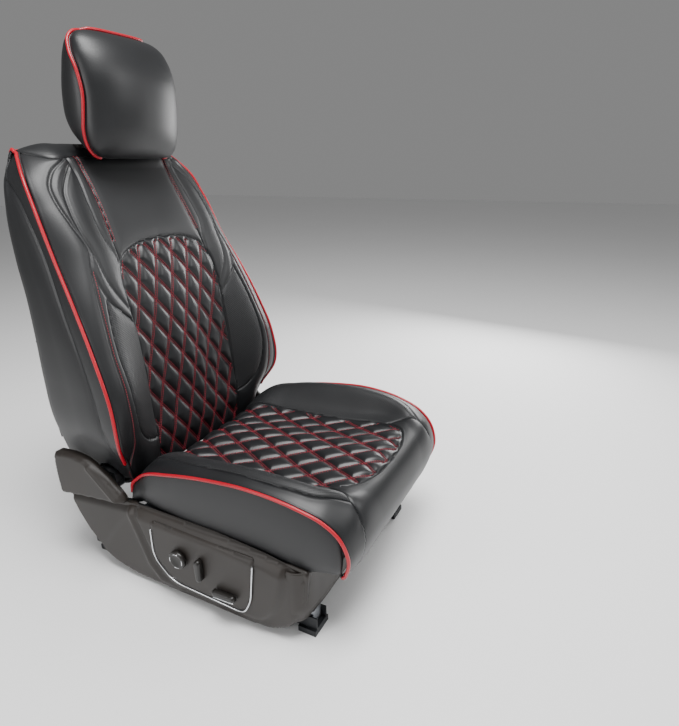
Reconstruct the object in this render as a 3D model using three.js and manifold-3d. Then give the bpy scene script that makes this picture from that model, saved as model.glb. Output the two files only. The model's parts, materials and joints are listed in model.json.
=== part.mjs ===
// A powered front seat dressed in a fitted leatherette cover set, built as separate pieces.
// Millimetres, +Z up, the seat faces -Y and its switch panel is on the -X side.
// Every soft piece is a skin or a pad lofted through a few cross-sections.
import * as THREE from "three";
import { mergeVertices } from "three/addons/utils/BufferGeometryUtils.js";
import Module from "manifold-3d";

const wasm = await Module();
wasm.setup();

// ---------------------------------------------------------------- driving dimensions
const COVER = 4; // leatherette with its bonded foam backing
const FIT = 0.3; // gap between pieces that touch
const SKIN_GAP = 0.8; // cover to foam
const PIPING_R = 3;
const STEEL = 4; // side plates
const PIVOT = { y: 190, z: 225 }; // recliner axis
const RAIL_X = 210; // centre of each floor rail
const FLOOR_RAIL = { front: -330, rear: 290, width: 40, wall: 3, z: 12, height: 28 };
const UPPER_RAIL = { front: -320, rear: 180, width: 30, z: 17, height: 33 };
const LINK = { low: 88, high: 107, reach: 88, thick: 5, x: 234.5, boss: 19 };
const LINK_Y = { front: -290, rear: 70 }; // lower pivots of the height links
const TUBE_R = 13;
const PIN_R = 6;
const SIDE_X = 252; // cushion side plates
const SHIELD_X = { inner: 258, outer: 278 }; // moulded side shields
const POST = { x: 65, y: 294, r: 6, lean: 0.07, low: 770, bend: 956, high: 1040 };

// Backrest cross-sections, bottom to top. Each has the front centre, the half width of the
// centre panel, the crest of the bolster, the piped edge and the rear corner.
const BACK = [
  { centre: [126, 218], panel: 140, crest: [190, 121, 218], edge: [226, 128, 222], rear: [224, 322, 152] },
  { centre: [118, 288], panel: 143, crest: [214, 104, 288], edge: [250, 112, 285], rear: [240, 350, 288] },
  { centre: [123, 350], panel: 144, crest: [238, 84, 345], edge: [279, 86, 340], rear: [248, 354, 350] },
  { centre: [130, 450], panel: 144, crest: [242, 82, 446], edge: [281, 90, 440], rear: [249, 358, 450] },
  { centre: [139, 535], panel: 143, crest: [240, 110, 532], edge: [274, 122, 530], rear: [246, 361, 522] },
  { centre: [154, 620], panel: 136, crest: [232, 143, 620], edge: [264, 164, 620], rear: [241, 370, 620] },
  { centre: [178, 703], panel: 125, crest: [215, 178, 703], edge: [252, 210, 703], rear: [236, 386, 700] },
  { centre: [224, 806], panel: 125, crest: [203, 230, 806], edge: [242, 255, 803], rear: [228, 394, 800] },
  { centre: [258, 870], panel: 127, crest: [190, 266, 868], edge: [228, 293, 868], rear: [216, 390, 868] },
  { centre: [276, 900], panel: 127, crest: [178, 287, 898], edge: [207, 334, 916], rear: [194, 372, 924] },
];
const BACK_BULGE = [0, 6, 12, 12, 12, 14, 14, 13, 9, 4]; // how far the rear panel bows out
const SIDE_BULGE = [0, 2, 5, 7, 8, 8, 8, 7, 5, 2];
const QUILT_TOP = 6; // the quilted insert ends at this cross-section
const POCKET_ROWS = [1, 4];

// Cushion cross-sections, from the foot of the nose up and back to the rear edge.
const CUSHION = [
  { centre: [-400, 176], panel: 105, crest: [180, -399, 176], edge: [234, -392, 176], hem: [238, -386, 175] },
  { centre: [-408, 235], panel: 110, crest: [184, -406, 235], edge: [240, -397, 226], hem: [244, -385, 177] },
  { centre: [-397, 283], panel: 120, crest: [192, -395, 283], edge: [246, -388, 268], hem: [248, -380, 178] },
  { centre: [-365, 300], panel: 150, crest: [202, -362, 313], edge: [252, -362, 295], hem: [250, -360, 181] },
  { centre: [-310, 298], panel: 171, crest: [214, -310, 330], edge: [258, -312, 314], hem: [253, -312, 188] },
  { centre: [-220, 290], panel: 170, crest: [220, -220, 338], edge: [262, -220, 326], hem: [256, -220, 200] },
  { centre: [-120, 285], panel: 164, crest: [222, -120, 334], edge: [262, -120, 320], hem: [255, -120, 205] },
  { centre: [-20, 280], panel: 150, crest: [222, -20, 320], edge: [260, -20, 303], hem: [252.5, -20, 207] },
  { centre: [58, 271], panel: 126, crest: [216, 58, 297], edge: [254, 58, 280], hem: [250, 58, 209] },
  { centre: [92, 252], panel: 118, crest: [208, 92, 268], edge: [246, 92, 256], hem: [244, 92, 212] },
];
const QUILT_FRONT = 3; // the nose panel ends and the quilted insert starts at this cross-section
const FOAM_FLOOR = 197; // underside of the cushion foam

// Headrest cross-sections, bottom to top: height, half width, front, rear, and where the piping runs.
const HEAD = [
  { z: 888, half: 96, front: 213, rear: 236, pipe: 0.6 },
  { z: 903, half: 112, front: 196, rear: 258, pipe: 0.62 },
  { z: 920, half: 120, front: 184, rear: 280, pipe: 0.55 },
  { z: 940, half: 126, front: 176, rear: 304, pipe: 0.43 },
  { z: 962, half: 129, front: 171, rear: 317, pipe: 0.34 },
  { z: 1010, half: 131, front: 168, rear: 314, pipe: 0.27 },
  { z: 1055, half: 129, front: 174, rear: 300, pipe: 0.32 },
  { z: 1098, half: 120, front: 191, rear: 283, pipe: 0.45 },
  { z: 1126, half: 107, front: 211, rear: 266, pipe: 0.55 },
  { z: 1142, half: 88, front: 229, rear: 247, pipe: 0.5 },
];

// ---------------------------------------------------------------- finishes
const finish = (color, roughness, metalness = 0) => ({ color, roughness, metalness });
const LEATHER = finish("#1b1c1f", 0.45);
const QUILT = finish("#222325", 0.5);
const RED = finish("#b11f2e", 0.4);
const FOAM = finish("#3c3c3e", 0.95);
const MOULDED = finish("#2a2622", 0.6);
const SWITCH = finish("#1d1b19", 0.5);
const TRIM = finish("#c9ccd0", 0.25, 1);
const STEEL_BLACK = finish("#2b2d30", 0.5, 0.8);
const STEEL_BRIGHT = finish("#9a9da1", 0.35, 1);

// ---------------------------------------------------------------- scene graph
const seat = new THREE.Group();

function add(name, geometry, look) {
  const mesh = new THREE.Mesh(geometry, new THREE.MeshStandardMaterial(look));
  mesh.name = name;
  seat.add(mesh);
  return mesh;
}

// ---------------------------------------------------------------- plain shapes
const AXES = { x: new THREE.Vector3(1, 0, 0), y: new THREE.Vector3(0, 1, 0), z: new THREE.Vector3(0, 0, 1) };

// Turns a shape drawn in (y, z) so that it is extruded along +X from x.
function alongX(geometry, x) {
  geometry.applyMatrix4(new THREE.Matrix4().makeBasis(AXES.y, AXES.z, AXES.x));
  return geometry.translate(x, 0, 0);
}

// A plate lying in the (y, z) plane, from x0 to x1, with round holes { y, z, r }.
function sidePlate(points, x0, x1, holes = []) {
  const outline = points.map(([y, z]) => new THREE.Vector2(y, z));
  const shape = new THREE.Shape(THREE.ShapeUtils.isClockWise(outline) ? outline.reverse() : outline);
  for (const { y, z, r } of holes) {
    shape.holes.push(new THREE.Path().absarc(y, z, r, 0, 2 * Math.PI, true));
  }
  const depth = Math.abs(x1 - x0);
  const flat = new THREE.ExtrudeGeometry(shape, { depth, bevelEnabled: false, curveSegments: 6 });
  return alongX(flat, Math.min(x0, x1));
}

function block([x0, x1], [y0, y1], [z0, z1]) {
  const box = new THREE.BoxGeometry(Math.abs(x1 - x0), y1 - y0, z1 - z0);
  return box.translate((x0 + x1) / 2, (y0 + y1) / 2, (z0 + z1) / 2);
}

// A cylinder from x0 to x1 about the axis through (y, z).
function barX(x0, x1, y, z, r, sides = 16) {
  const bar = new THREE.CylinderGeometry(r, r, Math.abs(x1 - x0), sides);
  return bar.rotateZ(Math.PI / 2).translate((x0 + x1) / 2, y, z);
}

// A cylinder between two points.
function barBetween(a, b, r, sides = 16) {
  const from = new THREE.Vector3(...a);
  const run = new THREE.Vector3(...b).sub(from);
  const bar = new THREE.CylinderGeometry(r, r, run.length(), sides);
  bar.applyQuaternion(new THREE.Quaternion().setFromUnitVectors(AXES.y, run.clone().normalize()));
  return bar.translate(...from.addScaledVector(run, 0.5).toArray());
}

// A round rod swept along a smooth curve through the points.
function rod(points, r, { sides = 8, steps = 32, tension = 0.5 } = {}) {
  const curve = new THREE.CatmullRomCurve3(
    points.map((p) => new THREE.Vector3(...p)), false, "catmullrom", tension,
  );
  const section = new THREE.Shape();
  for (let i = 0; i < sides; i++) {
    const a = (2 * Math.PI * i) / sides;
    section[i ? "lineTo" : "moveTo"](r * Math.cos(a), r * Math.sin(a));
  }
  return new THREE.ExtrudeGeometry(section, { steps, extrudePath: curve, bevelEnabled: false });
}

// ---------------------------------------------------------------- booleans
function solidOf(geometry) {
  const bare = geometry.index ? geometry.toNonIndexed() : geometry.clone();
  bare.deleteAttribute("normal");
  bare.deleteAttribute("uv");
  const merged = mergeVertices(bare, 1e-3);
  return new wasm.Manifold(new wasm.Mesh({
    numProp: 3,
    vertProperties: new Float32Array(merged.attributes.position.array),
    triVerts: new Uint32Array(merged.index.array),
  }));
}

function geometryOf(solid) {
  const mesh = solid.getMesh();
  const geometry = new THREE.BufferGeometry();
  geometry.setAttribute("position", new THREE.BufferAttribute(new Float32Array(mesh.vertProperties), 3));
  geometry.setIndex(new THREE.BufferAttribute(new Uint32Array(mesh.triVerts), 1));
  return geometry;
}

const cut = (geometry, ...tools) => geometryOf(tools.reduce((s, t) => s.subtract(solidOf(t)), solidOf(geometry)));
const join = (...pieces) => geometryOf(pieces.map(solidOf).reduce((a, b) => a.add(b)));

// ---------------------------------------------------------------- lofted skins
// A grid is rows of points. Rows run upwards (or rearwards) and columns run towards +X,
// so the outside is on the side of column cross row.
const vec = (x, y, z) => new THREE.Vector3(x, y, z);

function normalsOf(grid) {
  return grid.map((row, r) => row.map((_, c) => {
    const along = row[Math.min(c + 1, row.length - 1)].clone().sub(row[Math.max(c - 1, 0)]);
    const up = grid[Math.min(r + 1, grid.length - 1)][c].clone().sub(grid[Math.max(r - 1, 0)][c]);
    return along.cross(up).normalize();
  }));
}

const offset = (grid, normals, depth) => grid.map((row, r) => row.map((p, c) => {
  const d = typeof depth === "function" ? depth(r, c) : depth;
  return p.clone().addScaledVector(normals[r][c], -d);
}));

const part = (grid, [r0, r1], [c0, c1]) => grid.slice(r0, r1 + 1).map((row) => row.slice(c0, c1 + 1));

// Moves the border of a grid in by the fitting gap, so that sewn neighbours don't touch.
function drawIn(grid, gap = FIT / 2) {
  const last = (list) => list.length - 1;
  const nudge = (p, q) => p.clone().addScaledVector(q.clone().sub(p).normalize(), gap);
  const rows = grid.map((row) => row.map((p, c) => {
    if (c === 0) return nudge(p, row[1]);
    return c === last(row) ? nudge(p, row[c - 1]) : p.clone();
  }));
  return rows.map((row, r) => row.map((p, c) => {
    if (r === 0) return nudge(p, rows[1][c]);
    return r === last(rows) ? nudge(p, rows[r - 1][c]) : p;
  }));
}

// The closed solid between an outer grid and an inner grid of the same size.
function slab(outer, inner) {
  const rows = outer.length;
  const cols = outer[0].length;
  const positions = [...outer.flat(), ...inner.flat()].flatMap((p) => p.toArray());
  const at = (layer, r, c) => layer * rows * cols + r * cols + c;
  const index = [];
  const quad = (a, b, c, d) => index.push(a, b, c, a, c, d);
  for (let r = 0; r + 1 < rows; r++) {
    for (let c = 0; c + 1 < cols; c++) {
      quad(at(0, r, c), at(0, r, c + 1), at(0, r + 1, c + 1), at(0, r + 1, c));
      quad(at(1, r, c), at(1, r + 1, c), at(1, r + 1, c + 1), at(1, r, c + 1));
    }
    quad(at(0, r, 0), at(0, r + 1, 0), at(1, r + 1, 0), at(1, r, 0));
    quad(at(0, r, cols - 1), at(1, r, cols - 1), at(1, r + 1, cols - 1), at(0, r + 1, cols - 1));
  }
  for (let c = 0; c + 1 < cols; c++) {
    quad(at(0, 0, c), at(1, 0, c), at(1, 0, c + 1), at(0, 0, c + 1));
    quad(at(0, rows - 1, c), at(0, rows - 1, c + 1), at(1, rows - 1, c + 1), at(1, rows - 1, c));
  }
  const geometry = new THREE.BufferGeometry();
  geometry.setAttribute("position", new THREE.Float32BufferAttribute(positions, 3));
  geometry.setIndex(index);
  return geometry;
}

// A cover panel: a patch of a grid, one cover thick.
function panel(grid, normals, rows, cols) {
  const skin = drawIn(part(grid, rows, cols));
  const facing = part(normals, rows, cols);
  return slab(skin, offset(skin, facing, COVER));
}

// ---------------------------------------------------------------- backrest surface
// Columns go from the rear centre round the -X side, the front and the +X side, and back again.
const mixed = (a, b, t) => a + (b - a) * t;

function backRow({ centre, panel: half, crest, edge, rear }, k) {
  const [cy, cz] = centre;
  const side = [
    mixed(edge[0], rear[0], 0.5) + SIDE_BULGE[k], mixed(edge[1], rear[1], 0.5), mixed(edge[2], rear[2], 0.5),
  ];
  const right = [[half, cy, cz], crest, edge, side, rear];
  const left = right.map(([x, y, z]) => [-x, y, z]).reverse();
  const behind = [0, rear[1] + BACK_BULGE[k], rear[2]];
  return [behind, ...left, [0, cy, cz], ...right, behind].map((p) => vec(...p));
}

const backGrid = BACK.map(backRow);
const BACK_COL = { rearLeft: 1, sideLeft: 2, edgeLeft: 3, panelLeft: 5, panelRight: 7, edgeRight: 9, sideRight: 10, rearRight: 11 };
const backNormals = normalsOf(backGrid);
for (const row of backNormals) { // the loop closes on itself at the rear centre
  const behind = row[0].clone().add(row[row.length - 1]).normalize();
  row[0].copy(behind);
  row[row.length - 1].copy(behind);
}
const BACK_TOP = BACK.length - 1;

// The rear panel's columns run across the seam of the loop, from the +X corner to the -X corner.
const acrossRear = (grid) => grid.map((row) => [row[BACK_COL.rearRight], row[0], row[BACK_COL.rearLeft]]);

const reclinerHole = (x0, x1) => barX(x0, x1, PIVOT.y, PIVOT.z, 35, 20);

function addBackCovers() {
  const { edgeLeft, panelLeft, panelRight, edgeRight, rearLeft, rearRight } = BACK_COL;
  const sheet = (rows, cols) => panel(backGrid, backNormals, rows, cols);
  add("back_cover_quilted_insert", sheet([0, QUILT_TOP], [panelLeft, panelRight]), QUILT);
  add("back_cover_upper_centre", sheet([QUILT_TOP, BACK_TOP], [panelLeft, panelRight]), LEATHER);
  add("back_cover_bolster_left", sheet([0, BACK_TOP], [edgeLeft, panelLeft]), LEATHER);
  add("back_cover_bolster_right", sheet([0, BACK_TOP], [panelRight, edgeRight]), LEATHER);
  const side = [-1, 1].map((s) => reclinerHole(s * 200, s * 260));
  add("back_cover_side_left", cut(sheet([0, BACK_TOP], [rearLeft, edgeLeft]), side[0]), LEATHER);
  add("back_cover_side_right", cut(sheet([0, BACK_TOP], [edgeRight, rearRight]), side[1]), LEATHER);
  const rearGrid = acrossRear(backGrid);
  const rearNormals = acrossRear(backNormals);
  add("back_cover_rear", panel(rearGrid, rearNormals, [0, BACK_TOP], [0, 2]), LEATHER);
  addTopCover();
  addPockets(rearGrid, rearNormals);
}

// The strip across the top, between the front seam and the piped rear edge.
function addTopCover() {
  const top = backGrid[BACK_TOP];
  const { edgeLeft, panelLeft, panelRight, edgeRight, rearLeft, rearRight } = BACK_COL;
  const front = [edgeLeft + 1, panelLeft, panelLeft + 1, panelRight, edgeRight - 1].map((c) => top[c].clone());
  const rear = [0, 0.25, 0.5, 0.75, 1].map((t) => {
    const p = top[rearLeft].clone().lerp(top[rearRight], t);
    return p.setY(p.y + BACK_BULGE[BACK_TOP] * 4 * t * (1 - t));
  });
  const middle = front.map((p, i) => p.clone().lerp(rear[i], 0.5).add(vec(0, 0, 1)));
  middle[0].copy(top[edgeLeft]);
  middle[4].copy(top[edgeRight]);
  const grid = [front, middle, rear];
  const inset = drawIn(grid, COVER + 3);
  const guideHoles = [-1, 1].map((s) => guideBar(s, GUIDE.r + FIT));
  const skin = slab(inset, inset.map((row) => row.map((p) => p.clone().add(vec(0, 0, -COVER)))));
  add("back_cover_top", cut(skin, ...guideHoles), LEATHER);
}

// Two map pockets lie side by side on the rear panel, open along their upper hems.
function addPockets(rearGrid, rearNormals) {
  const [low, high] = POCKET_ROWS;
  const pouch = [
    [1, 1, 1, 1],
    [1, 9, 9, 1],
    [1, 14, 14, 1],
    [1, 15, 15, 1],
  ];
  for (const [name, from, to] of [["left", 1, 2], ["right", 0, 1]]) {
    const rows = part(rearGrid, [low, high], [from, to]);
    const facing = part(rearNormals, [low, high], [from, to]);
    const across = (row, t) => row[0].clone().lerp(row[1], t);
    const spread = [0.04, 0.2, 0.8, 0.97];
    const grid = rows.map((row) => spread.map((t) => across(row, t)));
    const normals = facing.map((row) => spread.map((t) => across(row, t).normalize()));
    const inner = offset(grid, normals, (r, c) => -pouch[r][c] - FIT);
    const outer = offset(grid, normals, (r, c) => -pouch[r][c] - FIT - 2);
    add(`map_pocket_${name}`, slab(outer, inner), LEATHER);
  }
}

// The foam fills the front of the backrest and leaves the frame its room behind.
const FOAM_LOW = 262; // the foam stops above the recliner
const REAR_SHARE = [0.12, 0.25, 0.4, 0.45, 0.45, 0.45, 0.42, 0.34, 0.3, 0.3]; // depth of the foam

function addBackFoam() {
  const first = backGrid[0].map((p, c) => p.clone().lerp(backGrid[1][c], (FOAM_LOW - 218) / 70));
  const { sideLeft, sideRight } = BACK_COL;
  const grid = [first, ...backGrid.slice(1)];
  const normals = backNormals;
  const rows = [0, grid.length - 1];
  const cols = [sideLeft, sideRight];
  const depth = (r) => COVER + SKIN_GAP + (r === 0 ? 9 : 0);
  const outer = offset(part(grid, rows, cols), part(normals, rows, cols), depth);
  outer[outer.length - 1].forEach((p) => p.add(vec(0, 2, -9)));
  const inner = outer.map((row, k) => {
    const { edge, rear } = BACK[k];
    const y = mixed(edge[1], rear[1], REAR_SHARE[k]) + 12;
    const last = row.length - 1;
    const half = Math.abs(row[0].x) * 0.9;
    return row.map((p, c) => {
      const end = c === 0 || c === last;
      return vec(mixed(-half, half, c / last), Math.max(y, end ? p.y + 2 : y), p.z);
    });
  });
  const guides = [-1, 1].map((s) => guideBar(s, GUIDE.r + 1, POST.low - 10));
  const slots = [-1, 1].map((s) => block([s * 200, s * 212].sort((a, b) => a - b), [180, 285], [240, 330]));
  add("back_foam", cut(slab(outer, inner), ...guides, ...slots), FOAM);
}

// Red piping runs up one side, across the rear top edge and down the other side.
function addBackPiping() {
  const proud = PIPING_R + 1.6;
  const up = BACK.map(({ edge: [x, y, z] }, k) => {
    const facing = backNormals[k][BACK_COL.edgeRight];
    return [x + facing.x * proud, y + facing.y * proud, z + facing.z * proud];
  }).slice(1, BACK_TOP);
  const [tx, ty, tz] = BACK[BACK_TOP].edge;
  const [rx, ry, rz] = BACK[BACK_TOP].rear;
  const corner = [[tx + 2, ty - 1, tz + 4.5], [rx + 2, ry + 3, rz + 5]];
  const right = [...up, ...corner];
  const left = right.map(([x, y, z]) => [-x, y, z]).reverse();
  add("back_piping", rod([...right, [0, ry + 9, rz + 7], ...left], PIPING_R, { steps: 60, sides: 6 }), RED);
}

// ---------------------------------------------------------------- cushion surface
function cushionRow({ centre, panel: half, crest, edge, hem }) {
  const [cy, cz] = centre;
  const right = [[half, cy, cz], crest, edge, hem];
  const left = right.map(([x, y, z]) => [-x, y, z]).reverse();
  return [...left, [0, cy, cz], ...right].map((p) => vec(...p));
}

const cushionGrid = CUSHION.map(cushionRow);
const cushionNormals = normalsOf(cushionGrid);
const CUSHION_COL = { hemLeft: 0, edgeLeft: 1, panelLeft: 3, panelRight: 5, edgeRight: 7, hemRight: 8 };
const CUSHION_REAR = CUSHION.length - 1;

// A skirt has one more line of points along its middle, which its padding pushes out.
const SKIRT_FULLNESS = 0.03; // as a share of the skirt's height
const withMiddle = ([a, b]) => [a, a.clone().add(b).multiplyScalar(0.5), b];

function skirt(cols) {
  const rows = [0, CUSHION_REAR];
  const skin = drawIn(part(cushionGrid, rows, cols)).map(withMiddle);
  const facing = part(cushionNormals, rows, cols).map(withMiddle);
  skin.forEach(([upper, middle, lower], k) => {
    facing[k][1].normalize();
    middle.addScaledVector(facing[k][1], SKIRT_FULLNESS * upper.distanceTo(lower));
  });
  return slab(skin, offset(skin, facing, COVER));
}

function addCushionCovers() {
  const { hemLeft, edgeLeft, panelLeft, panelRight, edgeRight, hemRight } = CUSHION_COL;
  const sheet = (rows, cols) => panel(cushionGrid, cushionNormals, rows, cols);
  add("cushion_cover_quilted_insert", sheet([QUILT_FRONT, CUSHION_REAR], [panelLeft, panelRight]), QUILT);
  add("cushion_cover_nose", sheet([0, QUILT_FRONT], [edgeLeft, edgeRight]), LEATHER);
  add("cushion_cover_bolster_left", sheet([QUILT_FRONT, CUSHION_REAR], [edgeLeft, panelLeft]), LEATHER);
  add("cushion_cover_bolster_right", sheet([QUILT_FRONT, CUSHION_REAR], [panelRight, edgeRight]), LEATHER);
  add("cushion_cover_skirt_left", skirt([hemLeft, edgeLeft]), LEATHER);
  add("cushion_cover_skirt_right", skirt([edgeRight, hemRight]), LEATHER);
}

function addCushionFoam() {
  const rows = [0, CUSHION_REAR];
  const cols = [CUSHION_COL.hemLeft, CUSHION_COL.hemRight];
  const outer = offset(part(cushionGrid, rows, cols), part(cushionNormals, rows, cols), COVER + SKIN_GAP);
  const inner = outer.map((row, k) => {
    const half = Math.abs(row[0].x) * 0.94;
    const y = k < 4 ? -345 + 4 * k : Math.min(row[0].y, 84);
    return row.map((_, c) => vec(mixed(-half, half, c / (row.length - 1)), y, FOAM_FLOOR));
  });
  outer.forEach((row, k) => {
    if (k < 3) return;
    for (const p of [row[0], row[row.length - 1]]) p.z = Math.max(p.z, FOAM_FLOOR + 14);
  });
  add("cushion_foam", slab(outer, inner), FOAM);
}

function addCushionPiping(side, sign) {
  const proud = PIPING_R + 1.2;
  const run = CUSHION.map(({ edge: [x, y, z] }, k) => {
    const facing = cushionNormals[k][CUSHION_COL.edgeRight];
    return [sign * (x + facing.x * proud), y + facing.y * proud, z + facing.z * proud];
  });
  add(`cushion_piping_${side}`, rod(run, PIPING_R, { steps: 20, sides: 6 }), RED);
}

// ---------------------------------------------------------------- headrest
const HEAD_COLUMNS = 18;
const ROUNDNESS = 2.5;

// A point of a rounded cross-section; angle 0 faces forward and a quarter turn faces +X.
function headPoint({ z, half, front, rear }, angle, shrink = 0) {
  const middle = (front + rear) / 2;
  const depth = (rear - front) / 2 - shrink;
  const power = 2 / ROUNDNESS;
  const s = Math.sin(angle);
  const c = Math.cos(angle);
  const x = (half - shrink) * Math.sign(s) * Math.abs(s) ** power;
  return vec(x, middle - depth * Math.sign(c) * Math.abs(c) ** power, z);
}

// The angle at which the piping crosses a section, from how far back it lies.
function pipingAngle({ pipe }) {
  return Math.acos(Math.sign(1 - 2 * pipe) * Math.abs(1 - 2 * pipe) ** (ROUNDNESS / 2));
}

function headPatch(angles, shrink) {
  return HEAD.map((section, k) => {
    const squeeze = Math.min(shrink, (section.rear - section.front) / 2 - 3);
    const lift = k === 0 ? shrink : k === HEAD.length - 1 ? -shrink : 0;
    return angles(section).map((a) => headPoint(section, a, squeeze).add(vec(0, 0, lift)));
  });
}

const spreadAngles = (from, to, count) => Array.from({ length: count + 1 }, (_, i) => mixed(from, to, i / count));

function addHeadrest() {
  const front = (s) => spreadAngles(-pipingAngle(s), pipingAngle(s), HEAD_COLUMNS / 3);
  const back = (s) => spreadAngles(pipingAngle(s), 2 * Math.PI - pipingAngle(s), HEAD_COLUMNS / 2);
  const shell = (angles) => slab(drawIn(headPatch(angles, 0)), drawIn(headPatch(angles, COVER)));
  const sockets = [-1, 1].map((sign) => postRod(sign, POST.r + 1, POST.high + 1));
  add("headrest_cover_front", shell(front), LEATHER);
  add("headrest_cover_back", cut(shell(back), ...sockets), LEATHER);
  const round = (s) => [...front(s), ...back(s).slice(1, -1)];
  const core = ringSolid(headPatch(round, COVER + SKIN_GAP));
  add("headrest_foam", cut(core, ...sockets), FOAM);
  const run = HEAD.map((section) => headPoint(section, pipingAngle(section), -PIPING_R - 1.2));
  run[HEAD.length - 1].z += PIPING_R + 2;
  const over = vec(0, run[HEAD.length - 1].y, run[HEAD.length - 1].z + 3);
  const mirrored = run.map((p) => vec(-p.x, p.y, p.z)).reverse();
  const route = [...run, over, ...mirrored].map((p) => p.toArray());
  add("headrest_piping", rod(route, PIPING_R, { steps: 36, sides: 6 }), RED);
  for (const [side, sign] of [["left", -1], ["right", 1]]) {
    add(`headrest_post_${side}`, postRod(sign, POST.r, POST.high), STEEL_BRIGHT);
  }
}

// A closed solid through rings of points, fanned shut at both ends.
function ringSolid(rings) {
  const count = rings[0].length;
  const middle = (ring) => ring.reduce((sum, p) => sum.add(p), vec(0, 0, 0)).divideScalar(count);
  const points = [...rings.flat(), middle(rings[0]), middle(rings[rings.length - 1])];
  const [low, high] = [points.length - 2, points.length - 1];
  const index = [];
  for (let c = 0; c < count; c++) {
    const next = (c + 1) % count;
    for (let r = 0; r + 1 < rings.length; r++) {
      const [a, b] = [r * count + c, r * count + next];
      index.push(a, b, b + count, a, b + count, a + count);
    }
    const top = (rings.length - 1) * count;
    index.push(low, next, c, high, top + c, top + next);
  }
  const geometry = new THREE.BufferGeometry();
  geometry.setAttribute("position", new THREE.Float32BufferAttribute(points.flatMap((p) => p.toArray()), 3));
  geometry.setIndex(index);
  return geometry;
}

// A post is straight through its guide and bends forward inside the headrest.
function postAt(x, z) {
  return [x, POST.y + (z - POST.low) * POST.lean, z];
}

function postRod(sign, r, top) {
  const x = sign * POST.x;
  const straight = barBetween(postAt(x, POST.low), postAt(x, POST.bend + 3), r, 12);
  return join(straight, barBetween(postAt(x, POST.bend), [x, 262, top], r, 12));
}

const GUIDE = { r: 10, collar: 15, low: 835, high: 916 };

function guideBar(sign, r, low = GUIDE.low - 5, high = GUIDE.high + 5) {
  return barBetween(postAt(sign * POST.x, low), postAt(sign * POST.x, high), r, 16);
}

// The left guide's collar carries the housing that the release button is pushed into.
const BUTTON = { depth: 8, half: 5, low: 0.5, high: 5.5, travel: 3, housing: 26 };

function addGuides() {
  const [x, y] = postAt(-POST.x, GUIDE.high);
  const outer = x - BUTTON.housing;
  const pocket = outer + BUTTON.depth + BUTTON.travel + FIT;
  const housing = block([outer, x], [y - 8, y + 8], [GUIDE.high - 2, GUIDE.high + 6]);
  const reach = BUTTON.half + FIT;
  const slot = block([outer - 1, pocket], [y - reach, y + reach], [GUIDE.high + BUTTON.low - FIT, GUIDE.high + 9]);
  for (const [side, sign] of [["left", -1], ["right", 1]]) {
    const sleeve = join(guideBar(sign, GUIDE.r, GUIDE.low, GUIDE.high),
      guideBar(sign, GUIDE.collar, GUIDE.high - 2, GUIDE.high + 6));
    const bore = guideBar(sign, POST.r + FIT, GUIDE.low - 9, GUIDE.high + 15);
    const body = sign < 0 ? cut(join(sleeve, housing), slot) : sleeve;
    add(`headrest_guide_${side}`, cut(body, bore), SWITCH);
  }
  add("headrest_release_button", block([outer, outer + BUTTON.depth], [y - BUTTON.half, y + BUTTON.half],
    [GUIDE.high + BUTTON.low, GUIDE.high + BUTTON.high]), SWITCH);
}

// ---------------------------------------------------------------- backrest frame
const HOOP_R = 11;

function addBackFrame() {
  for (const [side, s] of [["left", -1], ["right", 1]]) {
    const outline = [[165, 200], [215, 200], [255, 300], [270, 350], [234, 350], [190, 258], [165, 240]];
    const hole = { ...PIVOT, r: PIN_R + FIT };
    const plate = sidePlate(outline, s * 204, s * (204 + STEEL), [hole]);
    const upright = [[204, 250, 335], [204, 262, 420], [200, 290, 560], [190, 325, 720], [184, 335, 765]];
    const tube = rod(upright.map(([x, y, z]) => [s * x, y, z]), HOOP_R, { sides: 8, steps: 16 });
    add(`back_frame_${side}`, join(plate, tube), STEEL_BLACK);
    add(`recliner_${side}`, cut(barX(s * 209, s * 249, PIVOT.y, PIVOT.z, 30, 24),
      barX(s * 205, s * 255, PIVOT.y, PIVOT.z, PIN_R + FIT, 12)), STEEL_BRIGHT);
  }
  const crown = [[-183.7, 336.5, 771], [-168, 348, 806], [-130, 352, 816], [130, 352, 816], [168, 348, 806],
    [183.7, 336.5, 771]];
  add("back_frame_top", rod(crown, HOOP_R, { sides: 8, steps: 24, tension: 0.3 }), STEEL_BLACK);
  add("back_frame_lower_beam", block([-203.5, 203.5], [236, 256], [296, 320]), STEEL_BLACK);
  const shaft = barX(-249, 249, PIVOT.y, PIVOT.z, PIN_R, 12);
  add("recliner_drive", join(shaft, barX(-150, -55, PIVOT.y, PIVOT.z, 22, 20)), STEEL_BLACK);
  const mat = new THREE.BoxGeometry(230, 3, 170);
  mat.rotateX(-0.1).translate(0, 258, 440);
  add("lumbar_mat", mat, SWITCH);
}

// ---------------------------------------------------------------- cushion frame and height links
const linkTop = (y) => y + LINK.reach;

function addCushionFrame() {
  for (const [side, s] of [["left", -1], ["right", 1]]) {
    const outline = [[-306, 128], [-296, 108], [-225, 84], [-180, 84], [-160, 110], [120, 110], [140, 84], [175, 84],
      [222, 180], [222, 250], [158, 250], [150, 196], [-215, 190], [-306, 166]];
    const holes = [{ y: linkTop(LINK_Y.front), z: LINK.high, r: TUBE_R + 1.5 },
      { y: linkTop(LINK_Y.rear), z: LINK.high, r: TUBE_R + 0.5 }];
    const inner = SIDE_X - STEEL / 2;
    add(`cushion_side_${side}`, sidePlate(outline, s * inner, s * (inner + STEEL), holes), STEEL_BLACK);
    addShield(side, s);
  }
  const reach = SIDE_X - STEEL / 2 - FIT;
  add("cushion_pan", block([-reach, reach], [-285, 78], [190, 193.5]), STEEL_BLACK);
  add("cushion_rear_tube", barX(-reach, reach, 110, 150, 14, 12), STEEL_BLACK);
}

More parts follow.
